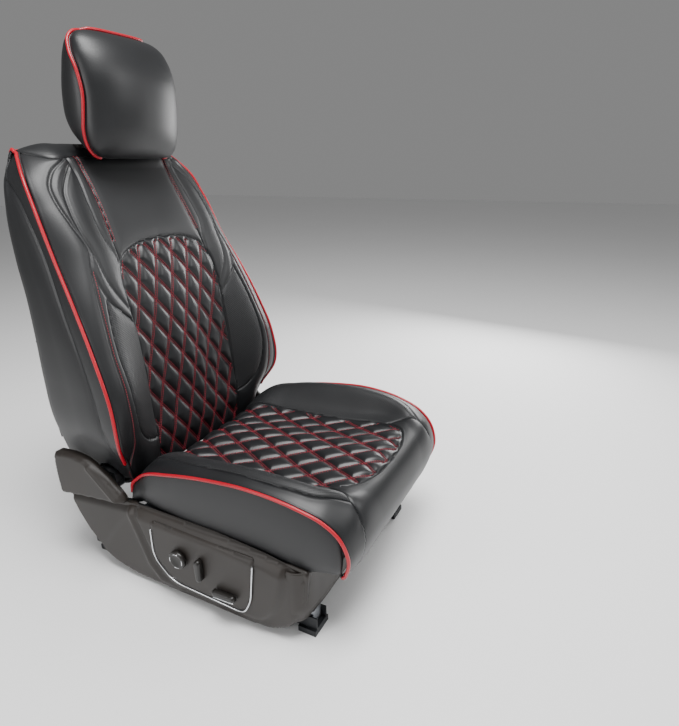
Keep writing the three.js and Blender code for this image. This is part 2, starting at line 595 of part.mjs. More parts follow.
// Each height link is two plates welded to a torque tube, and turns on pins of the slide.
function addLinks() {
  for (const [end, y] of Object.entries(LINK_Y)) {
    const [dy, dz] = [LINK.reach, LINK.high - LINK.low];
    const turn = Math.atan2(dz, dy);
    const plates = [-1, 1].map((s) => {
      const shape = new THREE.Shape();
      shape.absarc(y, LINK.low, LINK.boss - 3, turn + Math.PI / 2, turn - Math.PI / 2, false);
      shape.absarc(y + dy, LINK.high, LINK.boss, turn - Math.PI / 2, turn + Math.PI / 2, false);
      shape.holes.push(new THREE.Path().absarc(y, LINK.low, PIN_R + FIT, 0, 2 * Math.PI, true));
      const flat = new THREE.ExtrudeGeometry(shape, { depth: LINK.thick, bevelEnabled: false, curveSegments: 5 });
      return alongX(flat, s * LINK.x - LINK.thick / 2);
    });
    const reach = SIDE_X + STEEL / 2 + 1;
    add(`${end}_link`, join(barX(-reach, reach, linkTop(y), LINK.high, TUBE_R, 12), ...plates), STEEL_BLACK);
  }
}

// ---------------------------------------------------------------- slide rails
function addRails() {
  for (const [side, s] of [["left", -1], ["right", 1]]) {
    const { front, rear, width, wall, z, height } = FLOOR_RAIL;
    const half = width / 2;
    const u = [[-half, 0], [half, 0], [half, height], [half - wall, height], [half - wall, wall],
      [-half + wall, wall], [-half + wall, height], [-half, height]];
    const channel = new THREE.Shape(u.map(([x, h]) => new THREE.Vector2(x, h)));
    const rail = new THREE.ExtrudeGeometry(channel, { depth: rear - front, bevelEnabled: false });
    rail.rotateX(Math.PI / 2).translate(s * RAIL_X, rear, z);
    const feet = [-310, 250].map((y) => block([s * RAIL_X - 26, s * RAIL_X + 26], [y - 20, y + 20], [0, z + 1]));
    add(`floor_rail_${side}`, join(rail, ...feet), STEEL_BLACK);
    const top = UPPER_RAIL;
    const bar = block([s * RAIL_X - top.width / 2, s * RAIL_X + top.width / 2], [top.front, top.rear],
      [top.z, top.z + top.height]);
    const low = top.z + top.height - 2;
    const ears = [[-318, low], [100, low], [100, 98], [92, 106], [48, 106], [40, 70], [-262, 70], [-270, 106],
      [-308, 106], [-318, 96]];
    const pins = Object.values(LINK_Y).map((y) => barX(s * 218, s * 240, y, LINK.low, PIN_R, 12));
    add(`upper_rail_${side}`, join(bar, sidePlate(ears, s * 218, s * (218 + STEEL)), ...pins), STEEL_BRIGHT);
  }
  const drive = block([-45, 45], [-262, -218], [54, 92]);
  add("slide_drive", join(drive, barX(-217, 217, -240, 62, 5, 10)), STEEL_BLACK);
}

// ---------------------------------------------------------------- moulded trim and switches
// The side shield hangs from under the cushion skirt to just above the floor, and its front end
// turns inwards and meets the other shield's in the middle.
const SHIELD = [
  [305, 176], [300, 150], [284, 118], [262, 84], [228, 48], [180, 22], [120, 9], [60, 8], [-200, 8], [-252, 14],
  [-290, 34], [-314, 66], [-327, 110], [-332, 172], [-240, 188], [-120, 198], [60, 200], [110, 196],
];
const VALANCE = { front: -332, rear: -326, low: 52, high: 171 };
const COVER_OUTLINE = [
  [106, 202], [116, 222], [150, 250], [192, 278], [212, 286], [250, 290], [303, 286], [306, 240], [303, 180],
];

function addShield(side, s) {
  const { inner, outer } = SHIELD_X;
  const { front, rear, low, high } = VALANCE;
  const turned = [s * FIT, s * (inner + 1)].sort((a, b) => a - b);
  const valance = block(turned, [front, rear], [low, high]);
  add(`side_shield_${side}`, join(sidePlate(SHIELD, s * inner, s * outer), valance), MOULDED);
  add(`recliner_cover_${side}`, sidePlate(COVER_OUTLINE, s * (inner + 3), s * (outer + 4)), MOULDED);
}

// The switch panel is a plate on the -X shield, edged by a bright strip that is open at the top.
const PANEL_OUTLINE = [[36, 186], [38, 110], [30, 88], [-2, 56], [-24, 48], [-178, 42], [-196, 46], [-212, 78],
  [-224, 180]];
const PANEL_X = { inner: SHIELD_X.outer + FIT, outer: SHIELD_X.outer + 4 };

function addSwitchPanel() {
  const { inner, outer } = PANEL_X;
  const sockets = Object.values(SWITCHES).map(({ y, z, stem }) => ({ y, z, r: stem + 1 }));
  add("switch_panel", sidePlate(PANEL_OUTLINE, -inner, -outer, sockets), MOULDED);
  const away = 3.5;
  const middle = { y: -90, z: 130 };
  const grown = PANEL_OUTLINE.map(([y, z]) => {
    const [dy, dz] = [y - middle.y, z - middle.z];
    const l = Math.hypot(dy, dz);
    return [y + (away * dy) / l, z + (away * dz) / l];
  });
  const close = PANEL_OUTLINE.map(([y, z]) => {
    const [dy, dz] = [y - middle.y, z - middle.z];
    const l = Math.hypot(dy, dz);
    return [y + (0.6 * dy) / l, z + (0.6 * dz) / l];
  });
  add("switch_panel_trim", sidePlate([...grown, ...close.reverse()], -inner, -outer - 2), TRIM);
  addSwitches();
}

const SWITCHES = {
  lumbar: { y: -38, z: 120, stem: 8 },
  recline: { y: -92, z: 112, stem: 6 },
  travel: { y: -152, z: 74, stem: 6 },
};

function addSwitches() {
  const face = PANEL_X.outer;
  const { lumbar, recline, travel } = SWITCHES;
  add("lumbar_gimbal", barX(-face + 3, -face - 1, lumbar.y, lumbar.z, lumbar.stem, 12), SWITCH);
  add("lumbar_switch", barX(-face - 3, -face - 11, lumbar.y, lumbar.z, 20, 24), SWITCH);
  const stem = barX(-face + 3, -face - 4, recline.y, recline.z, recline.stem - 1.5, 12);
  const tall = [[-7, -24], [6, -25], [8, 20], [3, 26], [-4, 26], [-8, 20]].map(([y, z]) => [y + recline.y, z + recline.z]);
  add("recline_switch", join(stem, sidePlate(tall, -face - 3, -face - 13)), SWITCH);
  add("height_rocker", barX(-face + 3, -face - 2, travel.y, travel.z, travel.stem - 1.5, 12), SWITCH);
  const long = [[-28, -5], [24, -8], [28, -2], [27, 6], [-24, 8], [-28, 3]].map(([y, z]) => [y + travel.y, z + travel.z]);
  add("travel_switch", sidePlate(long, -face - 3, -face - 13), SWITCH);
}

// ---------------------------------------------------------------- assembly
addRails();
addLinks();
addCushionFrame();
addCushionFoam();
addCushionCovers();
addCushionPiping("left", -1);
addCushionPiping("right", 1);
addBackFrame();
addBackFoam();
addBackCovers();
addBackPiping();
addGuides();
addHeadrest();
addSwitchPanel();

// The origin is the middle of the footprint, on the floor.
seat.updateMatrixWorld(true);
const bounds = new THREE.Box3().setFromObject(seat);
const centre = bounds.getCenter(vec(0, 0, 0));
seat.position.set(-centre.x, -centre.y, -bounds.min.z);

export default seat;
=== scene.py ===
"""Fitted seat covers on a powered front seat: sewn panels, piping, stitching, moulded base and stage."""

import json
import math

import bpy
import numpy as np
from bpy.props import FloatProperty, FloatVectorProperty, IntProperty, PointerProperty
from mathutils import Matrix, Vector
from mathutils.geometry import delaunay_2d_cdt


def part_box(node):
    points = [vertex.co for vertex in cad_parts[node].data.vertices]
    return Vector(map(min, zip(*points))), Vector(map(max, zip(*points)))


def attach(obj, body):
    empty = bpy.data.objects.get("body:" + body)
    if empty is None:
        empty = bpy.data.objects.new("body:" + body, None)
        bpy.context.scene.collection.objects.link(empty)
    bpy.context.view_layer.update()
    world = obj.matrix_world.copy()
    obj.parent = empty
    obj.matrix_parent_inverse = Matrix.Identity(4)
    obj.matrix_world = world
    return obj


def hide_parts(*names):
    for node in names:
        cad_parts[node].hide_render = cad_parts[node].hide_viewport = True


bl_info = {
    "name": "Seat Cover Set",
    "version": (1, 0, 0),
    "blender": (4, 5, 0),
    "location": "3D View > Sidebar > Seat Covers",
    "description": "Builds a quilted leatherette cover set on a powered front seat",
    "category": "Object",
}

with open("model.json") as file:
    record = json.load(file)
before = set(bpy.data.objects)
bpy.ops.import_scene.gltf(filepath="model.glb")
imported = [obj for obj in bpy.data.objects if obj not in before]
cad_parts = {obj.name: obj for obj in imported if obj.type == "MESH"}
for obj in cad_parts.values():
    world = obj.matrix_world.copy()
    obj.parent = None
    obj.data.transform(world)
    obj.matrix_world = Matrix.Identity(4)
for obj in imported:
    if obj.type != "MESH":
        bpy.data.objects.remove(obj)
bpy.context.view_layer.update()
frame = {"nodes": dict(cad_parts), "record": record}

MM = 0.001


def linear(hex_colour):
    """An sRGB hex colour as linear red, green and blue."""
    parts = [int(hex_colour[i:i + 2], 16) / 255 for i in (1, 3, 5)]
    return tuple(c / 12.92 if c <= 0.04045 else ((c + 0.055) / 1.055) ** 2.4 for c in parts)


# ---------------------------------------------------------------- properties
class SeatSizes(bpy.types.PropertyGroup):
    """Sizes of the sewing."""

    cover: FloatProperty(name="Cover", description="Thickness of the leatherette", default=0.003,
                         unit="LENGTH")
    piping: FloatProperty(name="Piping", description="Radius of the piping", default=0.0034, unit="LENGTH")
    seam_depth: FloatProperty(name="Seam depth", description="How far a seam pulls in", default=0.0048,
                              unit="LENGTH")
    seam_width: FloatProperty(name="Seam width", description="How soon a panel fills out beside its seam",
                              default=0.0075, unit="LENGTH")
    quilt_depth: FloatProperty(name="Quilt depth", description="Height of a quilted diamond", default=0.0085,
                               unit="LENGTH")
    thread: FloatProperty(name="Thread", description="Radius of the decorative thread", default=0.0007,
                          unit="LENGTH")
    stitch: FloatProperty(name="Stitch", description="Pitch of the decorative stitching", default=0.0052,
                          unit="LENGTH")
    twin: FloatProperty(name="Twin gap", description="Distance between the two rows of a double stitch",
                        default=0.0052, unit="LENGTH")
    rows: IntProperty(name="Rows", description="Mesh rows of a cover panel", default=300)
    columns: IntProperty(name="Columns", description="Mesh columns of a cover panel", default=230)


class SeatColours(bpy.types.PropertyGroup):
    """Colours of the finishes."""

    leather: FloatVectorProperty(name="Leather", description="Plain cover panels", subtype="COLOR",
                                 default=linear("#121315"))
    quilt: FloatVectorProperty(name="Quilting", description="Quilted inserts", subtype="COLOR",
                               default=linear("#141517"))
    red: FloatVectorProperty(name="Piping", description="Red piping", subtype="COLOR",
                             default=linear("#a8061f"))
    thread: FloatVectorProperty(name="Thread", description="Red thread", subtype="COLOR",
                                default=linear("#9c2033"))
    plastic: FloatVectorProperty(name="Base", description="Moulded shields", subtype="COLOR",
                                 default=linear("#231e1a"))
    floor: FloatVectorProperty(name="Floor", description="Studio floor", subtype="COLOR",
                               default=linear("#f4f4f4"))


# ---------------------------------------------------------------- where the design lies in the frame
POST_BOXES = [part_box("headrest_post_left"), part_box("headrest_post_right")]
RECLINER_AXIS_Y = 190  # of the recliner axis, in the design's millimetres
MIDDLE = (POST_BOXES[0][0].x + POST_BOXES[1][1].x) / 2
AHEAD = (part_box("recliner_left")[0].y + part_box("recliner_left")[1].y) / 2 - RECLINER_AXIS_Y * MM
SHIFT = np.array([MIDDLE, AHEAD, 0.0])


def placed(points):
    """Points of the design, in millimetres about the seat's middle, as metres in the frame."""
    return np.asarray(points, float) * MM + SHIFT


# ---------------------------------------------------------------- curves and sheets
def spline(points, knots, t):
    """The smooth curve through the points, one for each knot, at the places t."""
    p = np.asarray(points, float)
    k = np.asarray(knots, float)
    slope = np.diff(p, axis=0) / np.diff(k)[:, None]
    tangent = np.empty_like(p)
    tangent[0], tangent[-1] = slope[0], slope[-1]
    before, after = np.diff(k)[:-1, None], np.diff(k)[1:, None]
    tangent[1:-1] = (slope[:-1] * after + slope[1:] * before) / (before + after)
    i = np.clip(np.searchsorted(k, t, side="right") - 1, 0, len(k) - 2)
    h = (k[i + 1] - k[i])[:, None]
    s = ((t - k[i]) / h[:, 0])[:, None]
    blend = 3 * s ** 2 - 2 * s ** 3
    return (p[i] * (1 - blend) + p[i + 1] * blend
            + h * (s ** 3 - 2 * s ** 2 + s) * tangent[i] + h * (s ** 3 - s ** 2) * tangent[i + 1])


def chords(points):
    """Length along the points from the first of them."""
    steps = np.linalg.norm(np.diff(np.asarray(points, float), axis=0), axis=-1)
    return np.concatenate([[0], np.cumsum(steps)])


def smooth_path(points, per=8):
    """A curve of short straight steps through the points."""
    knots = chords(points)
    spans = [np.linspace(a, b, per, endpoint=False) for a, b in zip(knots, knots[1:])]
    t = np.concatenate([*spans, knots[-1:]])
    return spline(points, knots, t)


class Sheet:
    """A sewn cover as a dense grid of points, with the place of each on its flat cut in millimetres."""

    def __init__(self, stations, rows, columns):
        grid = np.asarray(stations, float)
        along = np.concatenate([[0], np.cumsum(np.linalg.norm(np.diff(grid, axis=1), axis=2).mean(0))])
        up = np.concatenate([[0], np.cumsum(np.linalg.norm(np.diff(grid, axis=0), axis=2).mean(1))])
        lines = spline(grid.reshape(len(grid), -1), up, np.linspace(0, up[-1], rows))
        lines = lines.reshape(rows, grid.shape[1], 3)
        t = np.linspace(0, along[-1], columns)
        self.points = np.array([spline(line, along, t) for line in lines])
        middle = columns // 2
        arc = np.linalg.norm(np.diff(self.points, axis=1), axis=2)
        arc = np.concatenate([np.zeros((rows, 1)), np.cumsum(arc, axis=1)], axis=1)
        self.a = arc - arc[:, [middle]]
        self.b = np.repeat(chords(self.points[:, middle])[:, None], columns, axis=1)
        self.points = placed(self.points)
        self.normals = normals_of(self.points)

    @classmethod
    def of_points(cls, points, a, b):
        """A sheet from a grid of points in the frame and their places on the flat cut."""
        sheet = object.__new__(cls)
        sheet.points, sheet.a, sheet.b = points, a, b
        sheet.normals = normals_of(points)
        return sheet

    def raised(self, height):
        """The same sheet with its points moved outwards by height, in metres."""
        return Sheet.of_points(self.points + self.normals * height[..., None], self.a, self.b)

    def from_edge(self):
        """Distance from each place to the nearer side edge, in millimetres."""
        return np.minimum(self.a - self.a[:, [0]], self.a[:, [-1]] - self.a)

    def find(self, flat):
        """Points and normals of the sheet at places on its flat cut."""
        flat = np.asarray(flat, float)
        rows = np.interp(flat[:, 1], self.b[:, 0], np.arange(len(self.b)))
        r = np.clip(rows.astype(int), 0, len(self.b) - 2)
        f = rows - r
        columns = np.array([
            np.interp(a, self.a[i] * (1 - g) + self.a[i + 1] * g, np.arange(self.a.shape[1]))
            for (a, _), i, g in zip(flat, r, f)
        ])
        c = np.clip(columns.astype(int), 0, self.a.shape[1] - 2)
        g = columns - c
        weights = [(1 - f) * (1 - g), (1 - f) * g, f * (1 - g), f * g]
        corners = [(r, c), (r, c + 1), (r + 1, c), (r + 1, c + 1)]
        points = sum(w[:, None] * self.points[i, j] for w, (i, j) in zip(weights, corners))
        normals = sum(w[:, None] * self.normals[i, j] for w, (i, j) in zip(weights, corners))
        return points, normals / np.linalg.norm(normals, axis=1)[:, None]


def normals_of(points):
    """Outward normals of a grid whose rows run up and whose columns run towards the sitter's left."""
    across = np.gradient(points, axis=1)
    up = np.gradient(points, axis=0)
    normal = np.cross(across, up)
    return normal / np.maximum(np.linalg.norm(normal, axis=2), 1e-12)[..., None]


def distance_to(a, b, paths):
    """Distance from each place (a, b) to the nearest of the paths."""
    best = np.full(a.shape, 1e6)
    for path in paths:
        for (x0, y0), (x1, y1) in zip(path, path[1:]):
            dx, dy = x1 - x0, y1 - y0
            t = np.clip(((a - x0) * dx + (b - y0) * dy) / max(dx * dx + dy * dy, 1e-9), 0, 1)
            best = np.minimum(best, np.hypot(a - x0 - t * dx, b - y0 - t * dy))
    return best


def within(a, b, loop):
    """Whether each place (a, b) is inside the closed loop."""
    inside = np.zeros(np.shape(a), bool)
    for (x0, y0), (x1, y1) in zip(loop, np.roll(loop, -1, axis=0)):
        if y0 == y1:
            continue
        crosses = (b < y0) != (b < y1)
        inside ^= crosses & (a < (x1 - x0) * (b - y0) / (y1 - y0) + x0)
    return inside


def mirrored(points):
    """The same points on the other side of the middle."""
    return [(-a, b) for a, b in points]


LIP_AT = 4.5  # a small lip runs beside each seam, this far from it
LIP_WIDTH = 1.8
LIP_HEIGHT = 0.16  # as a share of the seam's depth


def seam_relief(distance, depth, width):
    """How far a cover lies below its filled shape at a distance from a seam, with a small lip beside it."""
    lip = LIP_HEIGHT * np.exp(-(((distance - LIP_AT) / LIP_WIDTH) ** 2))
    return depth * (lip - np.exp(-distance / (width / MM)))


# ---------------------------------------------------------------- meshes
def make_object(name, vertices, faces, material, smooth=True):
    """A new object from points and faces."""
    mesh = bpy.data.meshes.new(name)
    mesh.from_pydata(np.asarray(vertices).tolist(), [], faces)
    mesh.polygons.foreach_set("use_smooth", [smooth] * len(mesh.polygons))
    mesh.materials.append(material)
    obj = bpy.data.objects.new(name, mesh)
    bpy.context.scene.collection.objects.link(obj)
    return obj


def apply_modifiers(obj):
    """Makes the object's modifiers part of its mesh."""
    evaluated = obj.evaluated_get(bpy.context.evaluated_depsgraph_get())
    mesh = bpy.data.meshes.new_from_object(evaluated)
    obj.modifiers.clear()
    obj.data = mesh


def sheet_object(name, sheet, mask, material, thickness):
    """The part of a sheet whose faces the mask marks, as a closed skin with a flat cut map."""
    rows, columns = sheet.a.shape
    index = np.arange(rows * columns).reshape(rows, columns)
    quads = np.stack([index[:-1, :-1], index[:-1, 1:], index[1:, 1:], index[1:, :-1]], axis=-1)[mask]
    used, compact = np.unique(quads, return_inverse=True)
    faces = compact.reshape(-1, 4)
    outer = sheet.points.reshape(-1, 3)[used]
    inner = outer - sheet.normals.reshape(-1, 3)[used] * thickness
    count = len(used)
    edges = np.concatenate([faces[:, [i, (i + 1) % 4]] for i in range(4)])
    key = edges[:, 0].astype(np.int64) * count + edges[:, 1]
    back = edges[:, 1].astype(np.int64) * count + edges[:, 0]
    rim = edges[~np.isin(key, back)]
    walls = np.stack([rim[:, 1], rim[:, 0], rim[:, 0] + count, rim[:, 1] + count], axis=-1)
    every = np.concatenate([faces, faces[:, ::-1] + count, walls])
    obj = make_object(name, np.concatenate([outer, inner]), every.tolist(), material)
    flat = np.stack([sheet.a.reshape(-1)[used], sheet.b.reshape(-1)[used]], axis=-1)
    flat = np.concatenate([flat, flat])
    layer = obj.data.uv_layers.new(name="cut")
    layer.data.foreach_set("uv", flat[every.reshape(-1)].astype(np.float32).reshape(-1))
    return obj


def whole(sheet):
    """The mask of all faces of a sheet."""
    return np.ones((sheet.a.shape[0] - 1, sheet.a.shape[1] - 1), bool)


def face_places(sheet):
    """The place on the flat cut of the middle of each face."""
    def middle(grid):
        return (grid[:-1, :-1] + grid[1:, 1:] + grid[:-1, 1:] + grid[1:, :-1]) / 4
    return middle(sheet.a), middle(sheet.b)


def tube(name, path, radius, material, sides=12):
    """A round cord along a path, rounded off at both ends."""
    path = np.asarray(path, float)
    ahead = np.gradient(path, axis=0)
    ahead /= np.linalg.norm(ahead, axis=1)[:, None]
    side = np.cross(ahead[0], [0.3, 0.5, 0.81])
    turn = np.linspace(0, 2 * math.pi, sides, endpoint=False)
    spokes = []
    for along in ahead:
        side = side - along * side.dot(along)
        side /= np.linalg.norm(side)
        spokes.append(np.outer(np.cos(turn), side) + np.outer(np.sin(turn), np.cross(along, side)))
    circles = [point + radius * spoke for point, spoke in zip(path, spokes)]
    for end, sign in ((0, -1), (-1, 1)):
        cap = []
        for angle in (30, 60):
            r = radius * math.cos(math.radians(angle))
            lift = sign * radius * math.sin(math.radians(angle))
            cap.append(path[end] + ahead[end] * lift + r * spokes[end])
        circles = circles + cap if sign > 0 else cap[::-1] + circles
    vertices = np.concatenate(circles + [[path[0] - ahead[0] * radius], [path[-1] + ahead[-1] * radius]])
    low, high = len(vertices) - 2, len(vertices) - 1
    faces = []
    for r in range(len(circles) - 1):
        for s in range(sides):
            n = (s + 1) % sides
            faces.append((r * sides + s, r * sides + n, (r + 1) * sides + n, (r + 1) * sides + s))
    top = (len(circles) - 1) * sides
    for s in range(sides):
        n = (s + 1) % sides
        faces.append((low, n, s))
        faces.append((high, top + s, top + n))
    return make_object(name, vertices, faces, material)


THREAD_SIDES = 5
STITCH_SHARE = 0.68  # of the pitch that a stitch covers


def stitches(name, runs, radius, material):
    """Short capsules of thread; each run gives their ends and the normal of the leather under them."""
    sides = THREAD_SIDES
    turn = np.linspace(0, 2 * math.pi, sides, endpoint=False)
    vertices = []
    faces = []
    for start, end, normal in runs:
        along = end - start
        along = along / np.linalg.norm(along)
        across = np.cross(normal, along)
        across /= np.linalg.norm(across)
        up = np.cross(along, across)
        middle = (start + end) / 2 + up * radius * 0.6
        base = len(vertices)
        for point, r in ((start, 0.55), (middle, 1.0), (end, 0.55)):
            for angle in turn:
                vertices.append(point + radius * r * (math.cos(angle) * across + math.sin(angle) * up))
        vertices += [start - along * radius * 0.6, end + along * radius * 0.6]
        for ring in (0, 1):
            for s in range(sides):
                n = (s + 1) % sides
                low, high = base + ring * sides, base + (ring + 1) * sides
                faces.append((low + s, low + n, high + n, high + s))
        for s in range(sides):
            n = (s + 1) % sides
            faces.append((base + 3 * sides, base + n, base + s))
            faces.append((base + 3 * sides + 1, base + 2 * sides + s, base + 2 * sides + n))
    return make_object(name, vertices, faces, material)


def runs_along(sheet, paths, pitch, offsets, lift, keep=None):
    """The stitches of one or more rows along paths on the flat cut of a sheet."""
    runs = []
    step = pitch / MM
    for path in paths:
        path = np.asarray(path, float)
        length = chords(path)
        if length[-1] < step:
            continue

        def at_length(place, path=path, length=length):
            return np.stack([np.interp(place, length, path[:, i]) for i in (0, 1)], axis=-1)

        at = np.arange(0, length[-1] - step * 0.5, step)
        for offset in offsets:
            ends = []
            for share in (0.0, STITCH_SHARE):
                here = at_length(at + share * step)
                way = at_length(at + share * step + 0.5) - here
                way /= np.maximum(np.linalg.norm(way, axis=1), 1e-9)[:, None]
                ends.append(here + np.stack([-way[:, 1], way[:, 0]], axis=-1) * offset / MM)
            if keep is not None:
                ok = keep(ends[0][:, 0], ends[0][:, 1]) & keep(ends[1][:, 0], ends[1][:, 1])
                ends = [e[ok] for e in ends]
            if not len(ends[0]):
                continue
            starts, normals = sheet.find(ends[0])
            stops, _ = sheet.find(ends[1])
            runs += [(s + n * lift, e + n * lift, n) for s, e, n in zip(starts, stops, normals)]
    return runs


def install(obj, body, replaced=()):
    """Seats a finished piece on its body and hides the plain pieces it stands for."""
    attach(obj, body)
    if replaced:
        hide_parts(*replaced)
    return obj


# ---------------------------------------------------------------- materials
def add_node(tree, kind, links=(), **settings):
    """Adds a node, sets its properties or sockets, and links (from socket, to input) pairs."""
    node = tree.nodes.new(kind)
    for key, value in settings.items():
        if hasattr(node, key):
            setattr(node, key, value)
        else:
            node.inputs[key].default_value = value
    for source, target in links:
        tree.links.new(source, node.inputs[target])
    return node


def new_material(name, colour, roughness, metallic=0.0, ior=1.5):
    """A material with its shader set, and the node tree to build on."""
    material = bpy.data.materials.new(name)
    material.use_nodes = True
    tree = material.node_tree
    shader = tree.nodes["Principled BSDF"]
    shader.inputs["Base Color"].default_value = (*colour, 1)
    shader.inputs["Roughness"].default_value = roughness
    shader.inputs["Metallic"].default_value = metallic
    if metallic == 0:
        shader.inputs["IOR"].default_value = ior
    return material, tree, shader


def shaded(tree, source, colour, low, high):
    """Colour that varies with a texture between two brightnesses."""
    ramp = add_node(tree, "ShaderNodeValToRGB", [(source, "Fac")])
    ramp.color_ramp.elements[0].color = (*[c * low for c in colour], 1)
    ramp.color_ramp.elements[1].color = (*[c * high for c in colour], 1)
    ramp.color_ramp.elements[0].position = 0.3
    ramp.color_ramp.elements[1].position = 0.7
    return ramp.outputs["Color"]


GRAIN_MM = 2.0  # a leather pebble is about 0.8 mm; drawn coarser so that it shows
PERFORATION_MM = 4.4  # pitch of the punched holes, drawn coarser than the real 3 mm


def leatherette(name, colour, roughness, grain=0.12, perforated=False):
    """PU leatherette, embossed and calendered: soft broad highlights over a fine pebble grain."""
    material, tree, shader = new_material(name, colour, roughness)
    place = add_node(tree, "ShaderNodeTexCoord").outputs["Object"]
    pebble = add_node(tree, "ShaderNodeTexVoronoi", [(place, "Vector")], Scale=1 / (GRAIN_MM * MM),
                      feature="SMOOTH_F1")
    broad = add_node(tree, "ShaderNodeTexNoise", [(place, "Vector")], Scale=9.0, Detail=4.0)
    bump = add_node(tree, "ShaderNodeBump", [(pebble.outputs["Distance"], "Height")], Strength=grain,
                    Distance=0.0005)
    tree.links.new(shaded(tree, broad.outputs["Fac"], colour, 0.86, 1.14), shader.inputs["Base Color"])
    rough = add_node(tree, "ShaderNodeMapRange", [(broad.outputs["Fac"], "Value")])
    rough.inputs["To Min"].default_value = roughness - 0.05
    rough.inputs["To Max"].default_value = roughness + 0.06
    tree.links.new(rough.outputs["Result"], shader.inputs["Roughness"])
    if perforated:
        holes = punched_holes(tree)
        bump = add_node(tree, "ShaderNodeBump", [(holes, "Height"), (bump.outputs["Normal"], "Normal")],
                        Strength=0.7, Distance=0.0008)
        mixed = add_node(tree, "ShaderNodeMix", data_type="RGBA", blend_type="MULTIPLY")
        mixed.inputs["Factor"].default_value = 0.75
        tree.links.new(shader.inputs["Base Color"].links[0].from_socket, mixed.inputs["A"])
        tree.links.new(holes, mixed.inputs["B"])
        tree.links.new(mixed.outputs["Result"], shader.inputs["Base Color"])
    tree.links.new(bump.outputs["Normal"], shader.inputs["Normal"])
    return material


def punched_holes(tree):
    """Black dots on the cut's own millimetres, white between them, in staggered rows."""
    cut = add_node(tree, "ShaderNodeUVMap", uv_map="cut").outputs["UV"]
    scaled = add_node(tree, "ShaderNodeVectorMath", [(cut, 0)], operation="SCALE")
    scaled.inputs["Scale"].default_value = 1 / PERFORATION_MM
    turned = add_node(tree, "ShaderNodeVectorRotate", [(scaled.outputs["Vector"], "Vector")])
    turned.inputs["Angle"].default_value = math.pi / 4
    cell = add_node(tree, "ShaderNodeVectorMath", [(turned.outputs["Vector"], 0)], operation="FRACTION")
    centred = add_node(tree, "ShaderNodeVectorMath", [(cell.outputs["Vector"], 0)], operation="SUBTRACT")
    centred.inputs[1].default_value = (0.5, 0.5, 0)
    reach = add_node(tree, "ShaderNodeVectorMath", [(centred.outputs["Vector"], 0)], operation="LENGTH")
    edge = add_node(tree, "ShaderNodeMapRange", [(reach.outputs["Value"], "Value")])
    edge.inputs["From Min"].default_value = 0.2
    edge.inputs["From Max"].default_value = 0.3
    return edge.outputs["Result"]


def twisted_thread(colour):
    """Bonded polyester thread: matt, with the twist of its plies."""
    material, tree, shader = new_material("bonded_polyester_thread", colour, 0.5, ior=1.53)
    place = add_node(tree, "ShaderNodeTexCoord").outputs["Object"]
    twist = add_node(tree, "ShaderNodeTexWave", [(place, "Vector")], Scale=320.0, bands_direction="DIAGONAL")
    bump = add_node(tree, "ShaderNodeBump", [(twist.outputs["Fac"], "Height")], Strength=0.3, Distance=0.0003)
    tree.links.new(shaded(tree, twist.outputs["Fac"], colour, 0.8, 1.15), shader.inputs["Base Color"])
    tree.links.new(bump.outputs["Normal"], shader.inputs["Normal"])
    return material


def moulded_plastic(name, colour, roughness, grain_mm=1.6, strength=0.3):
    """Injection moulded polypropylene with an etched grain: matt, slightly uneven in the light."""
    material, tree, shader = new_material(name, colour, roughness, ior=1.49)
    place = add_node(tree, "ShaderNodeTexCoord").outputs["Object"]
    etched = add_node(tree, "ShaderNodeTexNoise", [(place, "Vector")], Scale=1 / (grain_mm * MM), Detail=2.0)
    broad = add_node(tree, "ShaderNodeTexNoise", [(place, "Vector")], Scale=14.0, Detail=3.0)
    bump = add_node(tree, "ShaderNodeBump", [(etched.outputs["Fac"], "Height")], Strength=strength,
                    Distance=0.0004)
    tree.links.new(shaded(tree, broad.outputs["Fac"], colour, 0.88, 1.1), shader.inputs["Base Color"])
    tree.links.new(bump.outputs["Normal"], shader.inputs["Normal"])
    return material


def open_cell_foam(colour):
    """Moulded polyurethane foam: dull and pitted."""
    material, tree, shader = new_material("polyurethane_foam", colour, 0.95)
    place = add_node(tree, "ShaderNodeTexCoord").outputs["Object"]
    pores = add_node(tree, "ShaderNodeTexVoronoi", [(place, "Vector")], Scale=400.0)
    bump = add_node(tree, "ShaderNodeBump", [(pores.outputs["Distance"], "Height")], Strength=0.6,
                    Distance=0.001)
    tree.links.new(shaded(tree, pores.outputs["Distance"], colour, 0.7, 1.1), shader.inputs["Base Color"])
    tree.links.new(bump.outputs["Normal"], shader.inputs["Normal"])
    return material


def finished_metal(name, colour, roughness, metallic, scale, strength):
    """Painted, plated or brushed metal: its roughness wanders a little and its bump is faint."""
    material, tree, shader = new_material(name, colour, roughness, metallic=metallic)
    place = add_node(tree, "ShaderNodeTexCoord").outputs["Object"]
    cloud = add_node(tree, "ShaderNodeTexNoise", [(place, "Vector")], Scale=scale, Detail=5.0)
    rough = add_node(tree, "ShaderNodeMapRange", [(cloud.outputs["Fac"], "Value")])
    rough.inputs["To Min"].default_value = roughness - 0.08
    rough.inputs["To Max"].default_value = roughness + 0.1
    bump = add_node(tree, "ShaderNodeBump", [(cloud.outputs["Fac"], "Height")], Strength=strength,
                    Distance=0.0003)
    tree.links.new(shaded(tree, cloud.outputs["Fac"], colour, 0.9, 1.08), shader.inputs["Base Color"])
    tree.links.new(rough.outputs["Result"], shader.inputs["Roughness"])
    tree.links.new(bump.outputs["Normal"], shader.inputs["Normal"])
    return material


